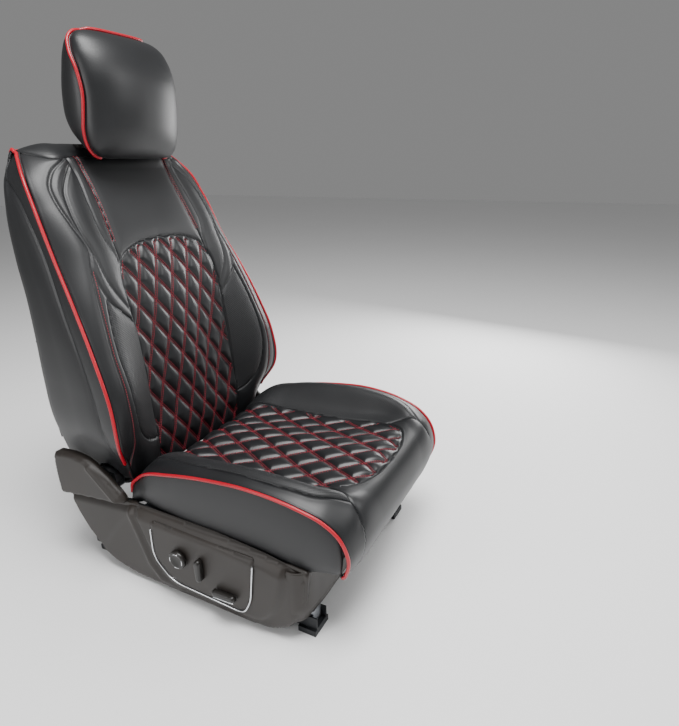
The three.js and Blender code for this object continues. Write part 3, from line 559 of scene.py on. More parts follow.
def make_materials(colours):
    """Every finish of the seat."""
    leather = tuple(colours.leather)
    return {
        # calendered cover leatherette: soft broad highlights over the padding, a fine grain up close
        "black_leatherette": leatherette("black_leatherette", leather, 0.45),
        # punched leatherette: small dark holes in rows, which make the panels look duller and greyer
        "perforated_leatherette": leatherette("perforated_leatherette", tuple(c * 1.25 for c in leather), 0.5,
                                              perforated=True),
        # quilted leatherette: a little glossier, so that each diamond catches the light
        "quilted_leatherette": leatherette("quilted_leatherette", tuple(colours.quilt), 0.4),
        # leatherette over the piping cord: deep red with a narrow highlight along it
        "red_leatherette": leatherette("red_leatherette", tuple(colours.red), 0.34, grain=0.05),
        "red_thread": twisted_thread(tuple(colours.thread)),
        "foam": open_cell_foam(linear("#4a4a4c")),
        # brown-black shields: matt, with a grain that breaks up the highlight
        "moulded_plastic": moulded_plastic("grained_polypropylene", tuple(colours.plastic), 0.5),
        # switches: a finer grain and a sharper highlight than the shields
        "switch_plastic": moulded_plastic("fine_grained_abs", linear("#1c1a18"), 0.38, 0.9, 0.15),
        # satin chrome plating on ABS: a clean bright edge with soft reflections
        "bright_trim": finished_metal("satin_chrome", linear("#d9dbde"), 0.22, 1.0, 60.0, 0.02),
        # black e-coated steel: an even dark satin
        "black_steel": finished_metal("black_coated_steel", linear("#1e2023"), 0.5, 0.3, 90.0, 0.1),
        # zinc plated steel: grey, lightly clouded
        "bright_steel": finished_metal("zinc_plated_steel", linear("#a7abb0"), 0.34, 1.0, 45.0, 0.06),
    }


MATERIALS = {}

# ---------------------------------------------------------------- backrest, in millimetres about the middle
# From the bottom up: the centre, half the centre panel's width, the bolster's crest and the piped edge,
# then the rear corner. Each is across, back and up.
BACK = [
    ((126, 218), 140, (190, 121, 218), (226, 128, 222), (224, 322, 152)),
    ((118, 288), 143, (214, 104, 288), (250, 112, 285), (240, 350, 288)),
    ((123, 350), 144, (238, 84, 345), (279, 86, 340), (248, 354, 350)),
    ((130, 450), 144, (242, 82, 446), (281, 90, 440), (249, 358, 450)),
    ((139, 535), 143, (240, 110, 532), (274, 122, 530), (246, 361, 522)),
    ((154, 620), 136, (232, 143, 620), (264, 164, 620), (241, 370, 620)),
    ((178, 703), 125, (215, 178, 703), (252, 210, 703), (236, 386, 700)),
    ((224, 806), 125, (203, 230, 806), (242, 255, 803), (228, 394, 800)),
    ((258, 870), 127, (190, 266, 868), (228, 293, 868), (216, 390, 868)),
    ((276, 900), 127, (178, 287, 898), (204, 334, 909), (192, 372, 908)),
]
TOP_ROWS = [
    ((330, 923), 116, (164, 332, 921), (199, 354, 910)),
    ((380, 909), 110, (156, 378, 909), (189, 371, 908)),
]
REAR_BOW = [0, 6, 12, 12, 12, 14, 14, 13, 9, 10]
SIDE_BOW = [0, 2, 5, 7, 8, 8, 8, 7, 5, 2]


def front_line(centre, half, crest, edge):
    """One cross-section of a seat surface, from its -X edge to its +X edge."""
    right = [(half, *centre), crest, edge]
    left = [(-x, y, z) for x, y, z in right[::-1]]
    return [*left, (0, *centre), *right]


def shell_line(edge, rear, rear_bow, side_bow):
    """One cross-section of the backrest's sides and rear, from the +X piping round to the -X piping."""
    corner = 32
    edge, rear = np.array(edge, float), np.array(rear, float)
    side = (edge + rear) / 2 + (side_bow, 0, 0)
    turn = rear + (side - rear) * corner / max(np.linalg.norm(side - rear), corner)
    behind = rear + (-corner, rear_bow * 0.25, 0)
    quarter = rear * (0.5, 1, 1) + (0, rear_bow * 0.75, 0)
    right = [edge, side, turn, (rear + turn + behind) / 3, behind, quarter]
    left = [p * (-1, 1, 1) for p in right[::-1]]
    return [*right, rear * (0, 1, 1) + (0, rear_bow, 0), *left]


# Seams on the front's flat cut: millimetres from the middle and up from the lower edge.
INSERT_SIDE = [(-147, -20), (-147, 100), (-145, 200), (-143, 300), (-146, 400), (-141, 452), (-124, 486),
               (-84, 507), (0, 518)]
OUTER_LEAF = [(-150, 708), (-190, 677), (-209, 645), (-212, 615), (-207, 567), (-199, 513), (-210, 475),
              (-202, 415), (-146, 350)]
INNER_LEAF = [(-147, 688), (-170, 661), (-187, 633), (-194, 600), (-196, 548), (-191, 513), (-184, 440),
              (-146, 371)]
THIRD_SEAM = [(-143, 708), (-140, 680), (-147, 600), (-149, 537), (-139, 500), (-136, 462)]
CENTRE_SEAM = [(-121, 712), (-119, 654), (-121, 602), (-124, 567), (-129, 520), (-132, 472)]
OUTER_SEAM = [(-212, 472), (-224, 417), (-235, 367), (-250, 302), (-262, 224), (-258, 157), (-246, 80),
              (-240, -10)]
PERFORATED_SEAM = [(-206, 413), (-225, 346), (-238, 274), (-239, 192), (-214, 122), (-172, 88), (-147, 82)]
PERFORATED_TOP = [(-146, 350), (-156, 361), (-206, 413)]
TOP_SEAM_AT = 712
QUILT_BACK = ((31.5, -46), (-19, -47.5))
QUILT_BACK_CROSSING = (-16, 384)
QUILT_LAND = 2.6  # half the flat strip between the two rows of a double stitch
QUILT_RISE = 4.2  # how soon a diamond rises beside that strip
DIAMOND_FADE = 60  # the quilting flattens out over this length above the lower edge
SEAM_FADE = 8  # and over this length beside the insert's seam


def both_sides(path):
    """A path and its mirror image."""
    return [smooth_path(path), smooth_path(mirrored(path))]


def closed_by_mirror(path):
    """The loop through a path that ends on the middle, and its mirror image."""
    side = smooth_path(path)
    return np.concatenate([side, (side * (-1, 1))[::-1]])


def lattice(a, b, steps, crossing):
    """Coordinates of places in a lattice of diamonds, whole numbers on its stitch lines."""
    (x1, y1), (x2, y2) = steps
    a, b = a - crossing[0], b - crossing[1]
    det = x1 * y2 - x2 * y1
    return (a * y2 - b * x2) / det, (b * x1 - a * y1) / det


def quilt_relief(a, b, steps, crossing, depth):
    """Height of puffed diamonds, zero at their middles and lowest along the stitch lines."""
    s, t = lattice(a, b, steps, crossing)
    (x1, y1), (x2, y2) = steps
    area = abs(x1 * y2 - x2 * y1)
    gap_s = np.abs(s - np.round(s)) * area / math.hypot(x2, y2)
    gap_t = np.abs(t - np.round(t)) * area / math.hypot(x1, y1)
    gap = np.minimum(gap_s, gap_t)
    rise = 1 - np.exp(-np.maximum(gap - QUILT_LAND, 0) / QUILT_RISE)
    puff = np.abs(np.sin(math.pi * s) * np.sin(math.pi * t)) ** 0.5
    return depth * (0.55 * rise + 0.45 * puff - 1)


def quilt_paths(steps, crossing, reach, low, high):
    """The stitch lines of a lattice that cross an area reach wide on each side, from low to high."""
    paths = []
    count = int((reach + high) / 16)  # more lines than the area holds
    for along, across in (steps, steps[::-1]):
        along, across = np.array(along, float), np.array(across, float)
        for k in range(-count, count):
            start = across * k + crossing
            line = start + np.outer(np.linspace(-60, 60, 1200), along)
            ok = (np.abs(line[:, 0]) < reach) & (line[:, 1] > low) & (line[:, 1] < high)
            if ok.sum() > 2:
                paths.append(line[ok])
    return paths


class Work:
    """Sheets that several operators share."""

    back = None
    cushion = None
    headrest = None


def backrest_front(sizes):
    """The relief of the backrest's front: seams, quilting and gentle hollows."""
    stations = [front_line(*row[:4]) for row in BACK + TOP_ROWS]
    plain = Sheet(stations, sizes.rows, sizes.columns)
    a, b = plain.a, plain.b
    insert = closed_by_mirror(INSERT_SIDE)
    pairs = (OUTER_LEAF, INNER_LEAF, THIRD_SEAM, OUTER_SEAM, PERFORATED_SEAM, CENTRE_SEAM)
    seams = [path for seam in pairs for path in both_sides(seam)]
    seams += [insert, np.array([(-330, TOP_SEAM_AT), (330, TOP_SEAM_AT)])]
    height = seam_relief(distance_to(a, b, seams), sizes.seam_depth, sizes.seam_width)
    height += seam_relief(plain.from_edge() + 1, sizes.seam_depth, sizes.seam_width)
    shrink = np.clip(distance_to(a, b, [insert]) / SEAM_FADE, 0, 1)
    shrink *= np.clip((b + 20) / DIAMOND_FADE, 0.15, 1)
    quilt = quilt_relief(a, b, QUILT_BACK, QUILT_BACK_CROSSING, sizes.quilt_depth) * shrink
    return plain.raised(height + np.where(within(a, b, insert), quilt, 0))


class SEAT_OT_backrest_front(bpy.types.Operator):
    """Sews the front of the backrest: insert, upper centre, perforated panels, bolsters and top strip"""

    bl_idname = "seat.backrest_front"
    bl_label = "Backrest front"

    def execute(self, context):
        sizes = context.scene.seat_sizes
        sheet = backrest_front(sizes)
        Work.back = sheet
        a, b = face_places(sheet)
        insert = within(a, b, closed_by_mirror(INSERT_SIDE))
        top = b > TOP_SEAM_AT
        centre_side = np.array(CENTRE_SEAM + [(-136, 440)])
        centre = within(a, b, np.concatenate([centre_side, (centre_side * (-1, 1))[::-1]])) & ~insert & ~top
        loop = np.concatenate([smooth_path(PERFORATED_SEAM), smooth_path(PERFORATED_TOP)])
        punched = [within(a, b, loop) & ~insert, within(-a, b, loop) & ~insert]
        rest = ~(insert | top | centre | punched[0] | punched[1])
        black, cover = "black_leatherette", sizes.cover
        plan = [
            ("back_quilted_insert", insert, "quilted_leatherette", ["back_cover_quilted_insert"]),
            ("back_upper_centre", centre, black, ["back_cover_upper_centre"]),
            ("back_top_strip", top, black, ["back_cover_top"]),
            ("back_bolster_left", rest & (a < 0), black, ["back_cover_bolster_left"]),
            ("back_bolster_right", rest & (a >= 0), black, ["back_cover_bolster_right"]),
        ]
        for name, mask, slot, nodes in plan:
            piece = sheet_object(name, sheet, mask, MATERIALS[slot], cover)
            install(piece, "backrest", nodes)
        finish = MATERIALS["perforated_leatherette"]
        for side, mask in zip(("left", "right"), punched):
            piece = sheet_object(f"back_perforated_{side}", sheet, mask, finish, cover)
            install(piece, "backrest")
        return {"FINISHED"}


# Seams of the sides and rear: back and up on the sides, across and up on the rear.
SIDE_SEAM = [(366, 868), (318, 830), (280, 775), (240, 690), (204, 600), (172, 520), (146, 430), (134, 350),
             (136, 270)]
LOWER_HEM = 30  # width of the hem
RECLINER_AXIS_Z = 225
RECLINER_OPENING = 35  # radius of the hole in the covers round the recliner
FAR = 1e3  # farther than any seam pulls in
POCKET_ACROSS = (8, 226)  # from the middle of the rear panel's flat cut
POCKET_UP = (138, 370)  # from its lower edge
POCKET_DEPTH = 11
POCKET_HEM = 16  # width of the hem along the opening


class SEAT_OT_backrest_shell(bpy.types.Operator):
    """Sews the sides and the rear of the backrest, with its two map pockets"""

    bl_idname = "seat.backrest_shell"
    bl_label = "Backrest sides and rear"

    def execute(self, context):
        sizes = context.scene.seat_sizes
        stations = [shell_line(row[3], row[4], REAR_BOW[k], SIDE_BOW[k]) for k, row in enumerate(BACK)]
        plain = Sheet(stations, sizes.rows, sizes.columns + 60)
        points = (plain.points - SHIFT) / MM
        side_on = np.abs(plain.normals[..., 0]) > 0.45
        seam = smooth_path(SIDE_SEAM)
        distance = np.where(side_on, distance_to(points[..., 1], points[..., 2], [seam]), FAR)
        corner = np.array([(row[4][0], row[4][2]) for row in BACK], float)
        corner_x = np.interp(points[..., 2], corner[:, 1], corner[:, 0])
        behind = plain.normals[..., 1] > 0.25
        distance = np.minimum(distance, np.where(behind, np.abs(np.abs(points[..., 0]) - corner_x + 6), FAR))
        distance = np.minimum(distance, plain.from_edge() + 1)
        distance = np.minimum(distance, np.abs(plain.b - LOWER_HEM) + 2)
        sheet = plain.raised(seam_relief(distance, sizes.seam_depth, sizes.seam_width))
        middle = (points[:-1, :-1] + points[1:, 1:]) / 2
        wall = (plain.normals[:-1, :-1, 1] + plain.normals[1:, 1:, 1]) / 2
        rear_half = np.interp(middle[..., 2], corner[:, 1], corner[:, 0]) - 5
        rear = (wall > 0.2) & (np.abs(middle[..., 0]) < rear_half)
        away = np.hypot(middle[..., 1] - RECLINER_AXIS_Y, middle[..., 2] - RECLINER_AXIS_Z)
        hole = away < RECLINER_OPENING
        black = MATERIALS["black_leatherette"]
        plan = [
            ("back_rear_panel", rear, ["back_cover_rear"]),
            ("back_side_left", ~rear & ~hole & (middle[..., 0] < 0), ["back_cover_side_left"]),
            ("back_side_right", ~rear & ~hole & (middle[..., 0] > 0), ["back_cover_side_right"]),
        ]
        for name, mask, nodes in plan:
            piece = sheet_object(name, sheet, mask, black, sizes.cover)
            install(piece, "backrest", nodes)
        self.pockets(plain)
        return {"FINISHED"}

    def pockets(self, plain):
        """Two pouches side by side, open along their upper hems."""
        black = MATERIALS["black_leatherette"]
        near, far = POCKET_ACROSS
        low, high = POCKET_UP
        count = 60
        for side, sign in (("left", 1), ("right", -1)):
            across, up = np.meshgrid(np.linspace(near, far, count), np.linspace(low, high, count))
            flat = np.stack([across * sign, up], axis=-1).reshape(-1, 2)
            points, normals = plain.find(flat)
            inset = np.minimum(across - near, far - across)
            fullness = np.clip(inset / 60, 0, 1) ** 0.6 * np.clip((up - low) / 120, 0, 1) ** 0.7
            pouch = 2 + POCKET_DEPTH * fullness
            hem = 1.5 * np.exp(-((high - POCKET_HEM - up) / 2.5) ** 2)
            lift = (pouch - hem).reshape(-1) * MM + 0.003
            outer = (points + normals * lift[:, None]).reshape(count, count, 3)
            if sign < 0:
                outer = outer[:, ::-1]
            pocket = Sheet.of_points(outer, across, up)
            piece = sheet_object(f"pocket_{side}", pocket, whole(pocket), black, 0.002)
            install(piece, "backrest", [f"map_pocket_{side}"])
            rim = tube(f"pocket_hem_{side}", outer[-1], 0.0022, black, 8)
            install(rim, "backrest")


# ---------------------------------------------------------------- cushion
CUSHION = [
    ((-400, 176), 105, (180, -399, 176), (234, -392, 176), (237, -388, 175)),
    ((-408, 235), 110, (184, -406, 235), (240, -397, 226), (244, -385, 177)),
    ((-397, 283), 120, (192, -395, 283), (246, -388, 268), (248, -380, 178)),
    ((-365, 300), 150, (202, -362, 313), (252, -362, 295), (250, -360, 181)),
    ((-310, 298), 171, (214, -310, 330), (258, -312, 314), (253, -312, 188)),
    ((-220, 290), 170, (220, -220, 338), (262, -220, 326), (256, -220, 200)),
    ((-120, 285), 164, (222, -120, 334), (262, -120, 320), (257, -120, 205)),
    ((-20, 280), 150, (222, -20, 320), (260, -20, 303), (256, -20, 207)),
    ((58, 271), 126, (216, 58, 297), (254, 58, 280), (250, 58, 209)),
    ((92, 252), 118, (208, 92, 268), (246, 92, 256), (244, 92, 212)),
]
CUSHION_TAIL = [
    ((106, 236), 114, (204, 106, 248), (245, 108, 240), (247, 108, 204)),
    ((114, 212), 108, (196, 116, 216), (241, 118, 213), (245, 118, 196)),
]
HEM_DROP = 22  # how far the skirts reach down behind the shields
NOSE_FULLNESS = 13  # how far the padding pushes the nose out
SEAT_INSERT = [(-140, 660), (-146, 540), (-150, 420), (-151, 300), (-151, 205), (-132, 156), (-78, 130),
               (0, 121)]
SEAT_SIDE_SEAM = [(-212, 640), (-222, 575), (-256, 440), (-264, 330), (-258, 245), (-236, 184),
                  (-184, 124)]
SEAT_SPUR = [(-150, 196), (-174, 148), (-184, 124), (-190, 92)]
QUILT_SEAT = ((35, -46), (-24, -45))
QUILT_SEAT_CROSSING = (-17, 440)


class SEAT_OT_cushion(bpy.types.Operator):
    """Sews the cushion: quilted insert, perforated sides, bolsters, nose and skirts"""

    bl_idname = "seat.cushion"
    bl_label = "Cushion"

    def execute(self, context):
        sizes = context.scene.seat_sizes
        plain = Sheet([front_line(*row[:4]) for row in CUSHION + CUSHION_TAIL], sizes.rows, sizes.columns)
        a, b = plain.a, plain.b
        insert = closed_by_mirror(SEAT_INSERT)
        seams = [insert, *both_sides(SEAT_SIDE_SEAM), *both_sides(SEAT_SPUR)]
        height = seam_relief(distance_to(a, b, seams), sizes.seam_depth, sizes.seam_width)
        height += seam_relief(plain.from_edge() + 1, sizes.seam_depth, sizes.seam_width)
        shrink = np.clip(distance_to(a, b, [insert]) / SEAM_FADE, 0, 1)
        quilt = quilt_relief(a, b, QUILT_SEAT, QUILT_SEAT_CROSSING, sizes.quilt_depth) * shrink
        full = NOSE_FULLNESS * MM * np.exp(-(((b - 50) / 62) ** 2)) * np.clip(b / 12 + 0.5, 0, 1)
        sheet = plain.raised(height + full + np.where(within(a, b, insert), quilt, 0))
        Work.cushion = sheet
        a, b = face_places(sheet)
        quilted = within(a, b, insert)
        border = (SEAT_SIDE_SEAM, SEAT_SPUR[2::-1], SEAT_INSERT[4::-1])
        loop = np.concatenate([smooth_path(part) for part in border])
        punched = [within(a, b, loop) & ~quilted, within(-a, b, loop) & ~quilted]
        beside = np.array(SEAT_SIDE_SEAM + [(-190, 92), (-200, -10), (-400, -10), (-400, 640)])
        bolsters = [within(a, b, beside) & ~punched[0], within(-a, b, beside) & ~punched[1]]
        nose = ~(quilted | punched[0] | punched[1] | bolsters[0] | bolsters[1])
        black, cover = "black_leatherette", sizes.cover
        plan = [
            ("cushion_quilted_insert", quilted, "quilted_leatherette", ["cushion_cover_quilted_insert"]),
            ("cushion_nose", nose, black, ["cushion_cover_nose"]),
            ("cushion_bolster_left", bolsters[0], black, ["cushion_cover_bolster_left"]),
            ("cushion_bolster_right", bolsters[1], black, ["cushion_cover_bolster_right"]),
        ]
        for name, mask, slot, nodes in plan:
            piece = sheet_object(name, sheet, mask, MATERIALS[slot], cover)
            install(piece, "cushion", nodes)
        finish = MATERIALS["perforated_leatherette"]
        for side, mask in zip(("left", "right"), punched):
            piece = sheet_object(f"cushion_perforated_{side}", sheet, mask, finish, cover)
            install(piece, "cushion")
        self.skirts(sizes)
        return {"FINISHED"}

    def skirts(self, sizes):
        """The side panels between the piping and the hem, full in the middle."""
        for side, sign in (("left", -1), ("right", 1)):
            stations = []
            for *_, edge, hem in CUSHION + CUSHION_TAIL:
                edge, hem = np.array(edge, float), np.array(hem, float)
                hem = hem - (2, 0, HEM_DROP * step_between(hem[1], -375, -325))
                line = [edge, edge * 0.6 + hem * 0.4 + (5, 0, 0), edge * 0.25 + hem * 0.75 + (4, 0, 0), hem]
                stations.append(line[::-1] if sign < 0 else line)
            stations = [[p * (sign, 1, 1) for p in line] for line in stations]
            plain = Sheet(stations, sizes.rows // 2, 50)
            sheet = plain.raised(seam_relief(plain.from_edge() + 1, sizes.seam_depth, sizes.seam_width))
            name, black = f"cushion_skirt_{side}", MATERIALS["black_leatherette"]
            piece = sheet_object(name, sheet, whole(sheet), black, sizes.cover)
            install(piece, "cushion", [f"cushion_cover_skirt_{side}"])


# ---------------------------------------------------------------- headrest
# From the bottom up: height, half width, front, rear, and how far back the piping runs.
HEAD = [
    (883, 80, 224, 232, 0.5),
    (886, 100, 209, 243, 0.52),
    (901, 114, 193, 264, 0.5),
    (920, 121, 182, 284, 0.45),
    (940, 126, 175, 302, 0.39),
    (962, 129, 171, 312, 0.34),
    (1010, 131, 168, 312, 0.3),
    (1055, 130, 172, 300, 0.34),
    (1094, 125, 186, 286, 0.44),
    (1120, 115, 204, 272, 0.5),
    (1134, 98, 222, 258, 0.5),
    (1138, 78, 233, 247, 0.5),
]
ROUNDNESS = 2.4  # power of the rounded cross-sections; 2 is an ellipse
HEAD_MIDDLE = 1012
HEAD_SQUASH = 0.93  # the stuffed cover pulls in at its top and bottom
HEAD_FULLNESS = 9  # and fills out behind
HEAD_GRID = 130  # rows and columns of each of its covers
POST_ACROSS = 65  # of each post, from the middle
POST_ROUTE = [(294, 770), (300, 860), (306, 945), (297, 975), (262, 1040)]  # back and up
POST_RADIUS = 0.006


def head_section(section, angles):
    """Points of a rounded cross-section; angle 0 faces forward and a quarter turn faces +X."""
    z, half, front, rear, _ = section
    z = HEAD_MIDDLE + (z - HEAD_MIDDLE) * HEAD_SQUASH
    rear += HEAD_FULLNESS
    s, c = np.sin(angles), np.cos(angles)
    power = 2 / ROUNDNESS
    x = half * np.sign(s) * np.abs(s) ** power
    y = (front + rear) / 2 - (rear - front) / 2 * np.sign(c) * np.abs(c) ** power
    return np.stack([x, y, np.full_like(x, z)], axis=-1)


def piping_angle(section):
    """Where the piping crosses a cross-section."""
    share = 1 - 2 * section[4]
    return math.acos(np.sign(share) * abs(share) ** (ROUNDNESS / 2))


class SEAT_OT_headrest(bpy.types.Operator):
    """Sews the headrest's front and rear covers and bends its two posts"""

    bl_idname = "seat.headrest"
    bl_label = "Headrest"

    def execute(self, context):
        sizes = context.scene.seat_sizes
        covers = {
            "front": lambda s: np.linspace(-piping_angle(s), piping_angle(s), 25),
            "back": lambda s: np.linspace(piping_angle(s), 2 * math.pi - piping_angle(s), 33),
        }
        for name, angles in covers.items():
            plain = Sheet([head_section(s, angles(s)) for s in HEAD], HEAD_GRID, HEAD_GRID)
            sheet = plain.raised(seam_relief(plain.from_edge() + 1, sizes.seam_depth, sizes.seam_width))
            if name == "front":
                Work.headrest = sheet
            black = MATERIALS["black_leatherette"]
            piece = sheet_object(f"headrest_{name}", sheet, whole(sheet), black, sizes.cover)
            install(piece, "headrest", [f"headrest_cover_{name}"])
        steel = MATERIALS["bright_steel"]
        for side, sign in (("left", -1), ("right", 1)):
            route = smooth_path([(sign * POST_ACROSS, y, z) for y, z in POST_ROUTE], 12)
            post = tube(f"headrest_post_bright_{side}", placed(route), POST_RADIUS, steel, 20)
            install(post, "headrest", [f"headrest_post_{side}"])
        return {"FINISHED"}


# ---------------------------------------------------------------- piping and thread
PIPING_START = 66  # height on the backrest's flat cut at which its piping begins
PIPING_PROUD = 0.0042  # how far the piping stands out of its seam
PIPING_OUT = 0.0016  # and past the edge of the sheet


class SEAT_OT_piping(bpy.types.Operator):
    """Runs the red piping round the backrest, the cushion and the headrest"""

    bl_idname = "seat.piping"
    bl_label = "Piping"

    def execute(self, context):
        r = context.scene.seat_sizes.piping
        red = MATERIALS["red_leatherette"]
        back = Work.back
        first = int(np.searchsorted(back.b[:, 0], PIPING_START))
        right = self.outward(back, -1)[first:]
        left = self.outward(back, 0)[first:]
        top = back.points[-1, 1:-1][::-1] + (0, 0.5 * r, 0.3 * r)
        route = np.concatenate([right[::3], top[::4], left[::-1][::3]])
        route = spline(route, chords(route), np.linspace(0, chords(route)[-1], 520))
        install(tube("back_piping_red", route, r, red), "backrest", ["back_piping"])
        for side, column in (("left", 0), ("right", -1)):
            route = self.outward(Work.cushion, column)
            piece = tube(f"cushion_piping_red_{side}", route[::2], r, red)
            install(piece, "cushion", [f"cushion_piping_{side}"])
        head = Work.headrest
        rise = self.outward(head, -1)[4:-2:3]
        fall = self.outward(head, 0)[4:-2:3][::-1]
        over = head.points[-1, 12:-12:9][::-1] + (0, 0.4 * r, 0.7 * r)
        loop = np.concatenate([rise, over, fall])
        loop = spline(loop, chords(loop), np.linspace(0, chords(loop)[-1], 260))
        piece = tube("headrest_piping_red", loop, r * 0.95, red)
        install(piece, "headrest", ["headrest_piping"])
        return {"FINISHED"}

    def outward(self, sheet, column):
        """The edge of a sheet, moved out of the seam that it lies in."""
        step = sheet.points[:, column] - sheet.points[:, 2 if column == 0 else -3]
        step /= np.linalg.norm(step, axis=1)[:, None]
        return sheet.points[:, column] + sheet.normals[:, column] * PIPING_PROUD + step * PIPING_OUT


THREAD_CLEAR = 3  # the quilting's stitches stop this far from the insert's seam
INSERT_REACH = 160  # from the middle, past both sides of an insert
CENTRE_ROW = 0.0038  # from a centre seam to the row of stitches on each side of it
OUTER_ROW = 0.003  # from an outer seam to its one row


class SEAT_OT_stitching(bpy.types.Operator):
    """Sews the red double stitching of the quilting and of the centre seams"""

    bl_idname = "seat.stitching"
    bl_label = "Stitching"

    def execute(self, context):
        sizes = context.scene.seat_sizes
        twin = (-sizes.twin / 2, sizes.twin / 2)
        red = MATERIALS["red_thread"]
        back = (Work.back, QUILT_BACK, QUILT_BACK_CROSSING, INSERT_SIDE, 530)
        seat = (Work.cushion, QUILT_SEAT, QUILT_SEAT_CROSSING, SEAT_INSERT, 655)
        plan = [("back_quilt_thread", "backrest", back), ("cushion_quilt_thread", "cushion", seat)]
        for name, body, (sheet, steps, crossing, outline, high) in plan:
            loop = closed_by_mirror(outline)

            def keep(a, b, loop=loop):
                return within(a, b, loop) & (distance_to(a, b, [loop]) > THREAD_CLEAR)

            paths = quilt_paths(steps, crossing, INSERT_REACH, 0, high)
            runs = runs_along(sheet, paths, sizes.stitch, twin, sizes.thread * 0.7, keep)
            install(stitches(name, runs, sizes.thread, red), body)
        centre, outer = both_sides(CENTRE_SEAM[:-1]), both_sides(OUTER_SEAM)
        runs = runs_along(Work.back, centre, sizes.stitch, (-CENTRE_ROW, CENTRE_ROW), sizes.thread)
        runs += runs_along(Work.back, outer, sizes.stitch, (OUTER_ROW,), 0.0)
        piece = stitches("back_seam_thread", runs, sizes.thread * 0.9, red)
        install(piece, "backrest")
        return {"FINISHED"}


# ---------------------------------------------------------------- foam
FOAM_CELL = 0.007  # mesh size of a foam block
FOAM_SHRINK = 0.012  # how far its surface lies under the covers


class SEAT_OT_foam(bpy.types.Operator):
    """Rounds the foam blocks under the covers"""

    bl_idname = "seat.foam"
    bl_label = "Foam"

    def execute(self, context):
        for part, body in (("back", "backrest"), ("cushion", "cushion"), ("headrest", "headrest")):
            node = frame["nodes"][f"{part}_foam"]
            block = bpy.data.objects.new(f"{part}_foam_block", node.data.copy())
            context.scene.collection.objects.link(block)
            block.data.materials.clear()
            block.data.materials.append(MATERIALS["foam"])
            remesh = block.modifiers.new("even", "REMESH")
            remesh.mode = "VOXEL"
            remesh.voxel_size = FOAM_CELL
            smooth = block.modifiers.new("soft", "SMOOTH")
            smooth.iterations = 12
            shrink = block.modifiers.new("under_cover", "DISPLACE")
            shrink.mid_level = 0.0
            shrink.strength = -FOAM_SHRINK
            apply_modifiers(block)
            block.data.polygons.foreach_set("use_smooth", [True] * len(block.data.polygons))
            install(block, body, [f"{part}_foam"])
        return {"FINISHED"}


# ---------------------------------------------------------------- moulded base
SHIELD = [
    (305, 176), (300, 150), (284, 118), (262, 84), (228, 48), (180, 22), (120, 9), (60, 8), (-200, 8),
    (-252, 14), (-290, 34), (-314, 66), (-327, 110), (-332, 172), (-240, 188), (-120, 198), (60, 200),
    (110, 196),
]
LID = [(106, 202), (116, 222), (150, 250), (192, 278), (212, 286), (250, 290), (303, 286), (306, 240),
       (303, 180)]
RAISED_FIELD = [(120, 230), (96, 190), (40, 60), (16, 34), (-20, 24), (-196, 20), (-236, 26), (-268, 60),
                (-290, 120), (-300, 230)]
PANEL = [(36, 186), (38, 110), (30, 88), (-2, 56), (-24, 48), (-178, 42), (-196, 46), (-212, 78), (-224, 180)]
FOLD = [(108, 182), (62, 60), (34, 30), (-20, 24)]  # the diagonal fold behind the switches
SHIELD_TOP = [(-332, 172), (-240, 188), (-120, 198), (60, 200), (110, 196), (305, 176)]
LID_RIDGE = [(196, 268), (128, 208)]
SHIELD_FACE = 278  # of the raised field, from the middle
SHIELD_BACK = 259
LID_FACE, LID_BACK = 284, 262.5
BAND = 26  # height of the sloping band along the shield's upper edge
BORDER = 16  # width of the sloping border round the raised field
VALANCE = [(0.4, -338), (120, -337), (215, -334), (255, -326), (268, -308), (270, -290)]  # across and back
VALANCE_WALL = 0.004


def step_between(x, low, high):
    """A smooth step from 0 at low to 1 at high."""
    t = np.clip((x - low) / (high - low), 0, 1)
    return t * t * (3 - 2 * t)


def rounded_loop(points, cut=10, per=5):
    """A closed outline with its corners rounded."""
    points = np.asarray(points, float)
    out = []
    for i, here in enumerate(points):
        before, after = points[i - 1] - here, points[(i + 1) % len(points)] - here
        reach = min(cut, np.linalg.norm(before) * 0.45, np.linalg.norm(after) * 0.45)
        start = here + before / np.linalg.norm(before) * reach
        end = here + after / np.linalg.norm(after) * reach
        for t in np.linspace(0, 1, per):
            out.append((1 - t) ** 2 * start + 2 * t * (1 - t) * here + t * t * end)
    return np.array(out)


def dense_loop(loop, step):
    """A closed outline with points at an even step."""
    loop = np.concatenate([loop, loop[:1]])
    length = chords(loop)
    t = np.linspace(0, length[-1], max(8, int(length[-1] / step)), endpoint=False)
    return np.stack([np.interp(t, length, loop[:, i]) for i in (0, 1)], axis=-1)


